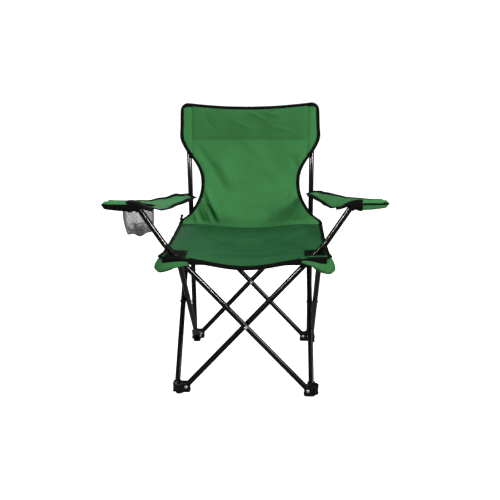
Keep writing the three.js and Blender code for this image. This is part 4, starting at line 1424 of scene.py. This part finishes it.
def add_pad(side, word):
    body = f"{word}_arm_pad"
    cloth = Cloth(pad_place(side))
    pad = cloth.sheet(f"{word}_pad_cloth", 56, 130, PAD_CLOTH)
    cut_post_hole(pad, side)
    if side < 0:
        carve(pad, cylinder(CUP_R + 0.001, 0.5, 0.6, 64, Matrix.Translation((CUP.x, CUP.y, 0))))
    settle(pad, body, "green_cloth", body)
    seams = Seams()
    front_inner, front_outer = PAD_INNER[0][1], PAD_OUTER[0][1]
    sleeve_start = (SLEEVE_START_X - front_inner) / (front_outer - front_inner)
    inner, near, outer = (outward(share, side) for share in (0, sleeve_start, 1))
    for edge, start, steps in ((0, 0, 170), (1, 0.09, 160)):
        rim, inside = pad_edge(side, edge)
        seams.tape(cloth, rim[rim[:, 1] >= start], inside[rim[:, 1] >= start], steps)
    seams.tape(cloth, line(inner, 1, outer, 1), line(inner, 0.984, outer, 0.984), 12, stitched=False)
    seams.tape(cloth, line(inner, 0, near, 0), line(inner, 0.02, near, 0.02), 24, stitched=False)
    if side < 0:
        seams.tape(cloth, circle_on_pad(CUP_R - 0.0015), circle_on_pad(CUP_R + 0.006), 97)
    tape = seams.build(f"{word}_pad_tape", body, "black_tape")
    for piece in (pad, tape, *add_pad_patches(side, word, cloth)):
        close_up(piece)


def pad_edge(side, edge):
    """A long edge of a pad, the inner (0) or the outer (1), and the line that its tape reaches to."""
    v = np.linspace(0, 1, 120)
    y = mix(pad_front_y(side), PAD_REAR_Y, v)
    share = PAD_TAPE / (through_points(y, PAD_OUTER) - through_points(y, PAD_INNER))
    return [side_line(outward(np.abs(edge - reach), side), v) for reach in (0, share)]


def pad_patch_place(side, cloth, ends, inset, reach):
    """A patch between two distances back, from near the pad's inner edge. With no reach it fills the pad."""
    def place(u, v):
        y = mix(*ends, v)
        inner = through_points(y, PAD_INNER) + inset
        outer = through_points(y, PAD_OUTER) - PATCH_INSET
        if reach:
            outer = np.minimum(inner + reach, SLEEVE_START_X + 0.006)
        spot = pad_spot(side, side * mix(inner, outer, outward(u, side)), y)
        return cloth.at(spot[..., 0], spot[..., 1], 1.2 * CLOTH)
    return place


def add_pad_patches(side, word, cloth):
    """Black reinforcements at the tube's bend and round the post's hole."""
    front = (pad_front_y(side) + 0.001, -0.168)
    # The left bend patch reaches much further in than the right. It is a real black reinforcement, and its
    # extra width over the inner corner is partly painted shade for the shadow round the bend.
    bend_inset, bend_reach = (PATCH_INSET, 0.070) if side < 0 else (0.026, 0.030)
    made = []
    for name, ends, inset, reach in (("bend", front, bend_inset, bend_reach),
                                     ("post", (0.176, PAD_REAR_Y), PATCH_INSET, 0)):
        patch = Cloth(pad_patch_place(side, cloth, ends, inset, reach), PATCH_THICK)
        piece = patch.sheet(f"{word}_pad_{name}_patch", 24, 24, TAPE)
        if name == "post":
            cut_post_hole(piece, side)
        settle(piece, f"{word}_arm_pad", "black_tape")
        made.append(piece)
    return made


def ring_place(side, start, end, radius, first, last, sag):
    """Cloth wrapped round the arm tube, hanging loose below it. start and end are measured from its tip."""
    rod = rod_points(side)
    lengths = distances(rod)

    def place(u, v):
        along = mix(start, end, outward(u, -side))
        turn = mix(first, last, v) * QUARTER
        on_rod = np.clip(along, 0.001, None)
        tangent = along_line(on_rod + 0.004, lengths, rod) - along_line(on_rod - 0.004, lengths, rod)
        tangent = tangent / np.linalg.norm(tangent, axis=-1, keepdims=True)
        size = radius * mix(0.14, 1, smooth(along, -0.012, -0.002))
        loose = sag * through_points(along, WRAP_SAG) * np.clip(-np.sin(turn), 0, 1)
        centre = along_line(along, lengths, rod) + spots(side * np.clip(-along, 0, 1), 0, -loose)
        up = spots(tangent[..., 2], 0, -tangent[..., 0]) * side
        return centre + spots(0, size * np.cos(turn), 0) + up * (size * np.sin(turn))[..., None]
    return place


def rod_points(side):
    """The arm post's centre line from its tip down to its top rivet."""
    y = tube_y(side)
    foot, top = Vector((-side * PIVOT_HALF, y, FOOT_Z)), Vector((side * PIVOT_HALF, y, TOP_Z))
    return np.array([tuple(spot) for spot in rod_path(foot, top, side)[3:]])[::-1]


def add_pad_sleeve(side, word):
    """The pad's front edge, taken under the tube and sewn, and the black wrap round the tube's bend."""
    body = f"{word}_arm_pad"
    wing = ARM_TIP_X - SLEEVE_START_X
    sleeve = Cloth(ring_place(side, SLEEVE_TIP, wing, TUBE_R + 0.0011, 0.45, -3.05, WING_SAG))
    piece = settle(sleeve.sheet(f"{word}_pad_sleeve", 60, 48, PAD_CLOTH), body, "green_cloth")
    seams = Seams()
    for height in (0.695, 0.745):
        seams.stitches(sleeve, line(0, height, 1, height), CLOTH / 2)
    radius = TUBE_R + 0.0022
    # Both sleeves have a real black seam tape. The left one runs much further round the tube than the right,
    # and that extra width is painted shade for the shadow under the left sleeve.
    low, high = (-1.30, -2.28) if side < 0 else (-1.92, -2.36)
    seam_tape = Cloth(ring_place(side, SLEEVE_TIP, wing, radius, low, high, WING_SAG), 0.0008)
    strip = settle(seam_tape.sheet(f"{word}_pad_seam_tape", 60, 8, TAPE), body, "black_tape")
    wrap = Cloth(ring_place(side, wing - 0.004, wing + 0.034, TUBE_R + 0.0024, 0.5, -3.15, 0.009), 0.0014)
    cover = settle(wrap.sheet(f"{word}_pad_bend_wrap", 40, 48, TAPE), body, "black_tape")
    seams.build(f"{word}_pad_stitches", body, "green_cloth")


for pad_side, pad_word in HANDS:
    add_pad(pad_side, pad_word)
    add_pad_sleeve(pad_side, pad_word)

# ---------------------------------------------------------------- cup holder

NET_CELL = 0.0026
STRAND = 0.0010
COLLAR = 0.013
COLLAR_LIP = 0.0016
BAG_WALL = 0.78                  # the share of the way down that is wall; the rest is gathered floor


def pad_surface(x, y):
    spot = pad_spot(-1, x, y)
    return pad_place(-1)(spot[..., 0], spot[..., 1])[..., 2]


def collar_place(u, v):
    """The black band inside the hole, that the net hangs from."""
    turn = u * math.tau
    x, y = circle(CUP_R - 0.0004, turn)
    return spots(x, y, pad_surface(x, y) + COLLAR_LIP - (COLLAR + COLLAR_LIP) * (1 - v))


def bag_spot(turn, down):
    """The hanging net: round at the rim, slack in the wall, gathered into folds at the bottom."""
    wall = np.clip(down / BAG_WALL, 0, 1)
    floor = np.clip((down - BAG_WALL) / (1 - BAG_WALL), 0, 1)
    radius = (CUP_R + 0.0008) * (1 + 0.02 * np.sin(math.pi * wall)) * (1 - 0.12 * wall ** 3) * (1 - floor)
    radius = radius * (1 + 0.035 * np.sin(5 * turn + 0.6) * wall ** 2 + 0.02 * np.sin(9 * turn + 2) * wall)
    x, y = circle(radius, turn)
    rim = pad_surface(*circle(CUP_R, turn)) - 0.004
    wobble = 0.003 * np.sin(6 * turn) - 0.010 * np.cos(turn + 1.45)
    low = CUP_LOW.z + 0.014 + wobble * (1 - floor)
    z = mix(rim, low, np.sin(QUARTER * wall) * 0.25 + 0.75 * wall) - 0.008 * np.sin(QUARTER * floor)
    return spots(x, y, z)


def lattice(name, columns, rows, low, high, strand, material, swell):
    """A net of diamonds between two heights of the bag, with real strands."""
    centre = np.array([CUP.x, CUP.y, 0])
    points, faces = [], []
    for row in range(rows + 1):
        turns = (np.arange(columns) + 0.5 * (row % 2)) / columns * math.tau
        ring = bag_spot(turns, np.full(columns, mix(low, high, row / rows)))
        points.append((ring - centre) * np.array([swell, swell, 1]) + centre)
    points = np.concatenate(points)
    for row in range(rows - 1):
        shift = row % 2
        for column in range(columns):
            left = (column - 1 + shift) % columns
            right = (column + shift) % columns
            faces.append((row * columns + column, (row + 1) * columns + left,
                          (row + 2) * columns + column, (row + 1) * columns + right))
    net = add_mesh(name, points, faces, [material])
    wire = net.modifiers.new("strands", "WIREFRAME")
    wire.thickness = strand
    wire.use_even_offset = False
    return baked(net, 60)


def add_cup_holder():
    columns = round(math.tau * CUP_R / NET_CELL / 1.4)
    bag = lattice("cup_net", columns, 62, 0.0, 0.995, STRAND, NET, 1.0)
    # The second, near-black net over the gathered bottom is painted shade: it stands for the shadow inside
    # the folds there.
    fold = lattice("cup_net_fold_shade", columns, 20, 0.775, 0.985, 1.3 * STRAND, SHADE_NET, 1.03)
    settle(bag, "left_arm_pad", "grey_mesh", "cup_holder_bag")
    settle(fold, "left_arm_pad", "grey_mesh")
    collar = Cloth(collar_place, 0.0016).sheet("cup_collar", 96, 8, TAPE)
    settle(collar, "left_arm_pad", "black_tape", "cup_holder_rim")
    for piece in (bag, fold, collar):
        close_up(piece)


add_cup_holder()

# ---------------------------------------------------------------- stage

STAGE_PROFILE = ((0, 0), (3, 0), (9, 0), (10.5, 0.4), (11.6, 1.5), (12, 3), (12, 9), (9, 12), (0, 13))
WARM = (1, 0.97, 0.92)
WARMER = (1, 0.95, 0.86)
WHITE = (1, 1, 1)
LIGHTS = (                       # place, aim, width, height, power and colour
    ("key", (-2.0, -2.2, 1.5), (0, 0, 0.5), 0.3, 0.3, 36, WARM),
    ("key_right", (1.9, -2.2, 1.5), (0, 0, 0.5), 0.3, 0.3, 46, WARMER),
    ("top", (0.3, 0.2, 3.0), (0, 0, 0.3), 1.4, 1.4, 22, WHITE),
    ("right", (2.6, -1.0, 1.4), (0, 0, 0.4), 0.5, 1.6, 22, WHITE),
    ("back", (-1.0, 2.6, 2.0), (0, 0, 0.4), 1.2, 1.0, 24, WHITE),
)


def add_stage():
    """A pale floor that runs up into a pale wall. It throws no light and no reflection on the chair."""
    points, faces = revolve(STAGE_PROFILE, 64)
    stage = add_mesh("studio", points, [face[::-1] for face in faces], [], 80)
    nodes = Nodes("studio_paper", (0.80, 0.80, 0.80), 0.95)
    nodes.shader.inputs["Emission Color"].default_value = (1, 1, 1, 1)
    nodes.shader.inputs["Emission Strength"].default_value = 1.0
    stage.data.materials.append(nodes.material)
    stage.visible_diffuse = False
    stage.visible_glossy = False
    stage.visible_shadow = False


def add_light(name, place, aim, width, height, power, colour):
    data = bpy.data.lights.new(name, "AREA")
    data.shape = "RECTANGLE"
    data.size = width
    data.size_y = height
    data.energy = power
    data.color = colour
    lamp = bpy.data.objects.new(name, data)
    lamp.matrix_world = toward(place, Vector(place) - Vector(aim))
    bpy.context.scene.collection.objects.link(lamp)


def add_world():
    """Soft, even light from all round."""
    world = bpy.data.worlds.new("studio_air")
    world.use_nodes = True
    background = world.node_tree.nodes["Background"]
    background.inputs["Color"].default_value = (1, 1, 1, 1)
    background.inputs["Strength"].default_value = 0.16
    bpy.context.scene.world = world


add_stage()
add_world()
for light in LIGHTS:
    add_light(*light)
bpy.context.scene.view_settings.view_transform = "Standard"
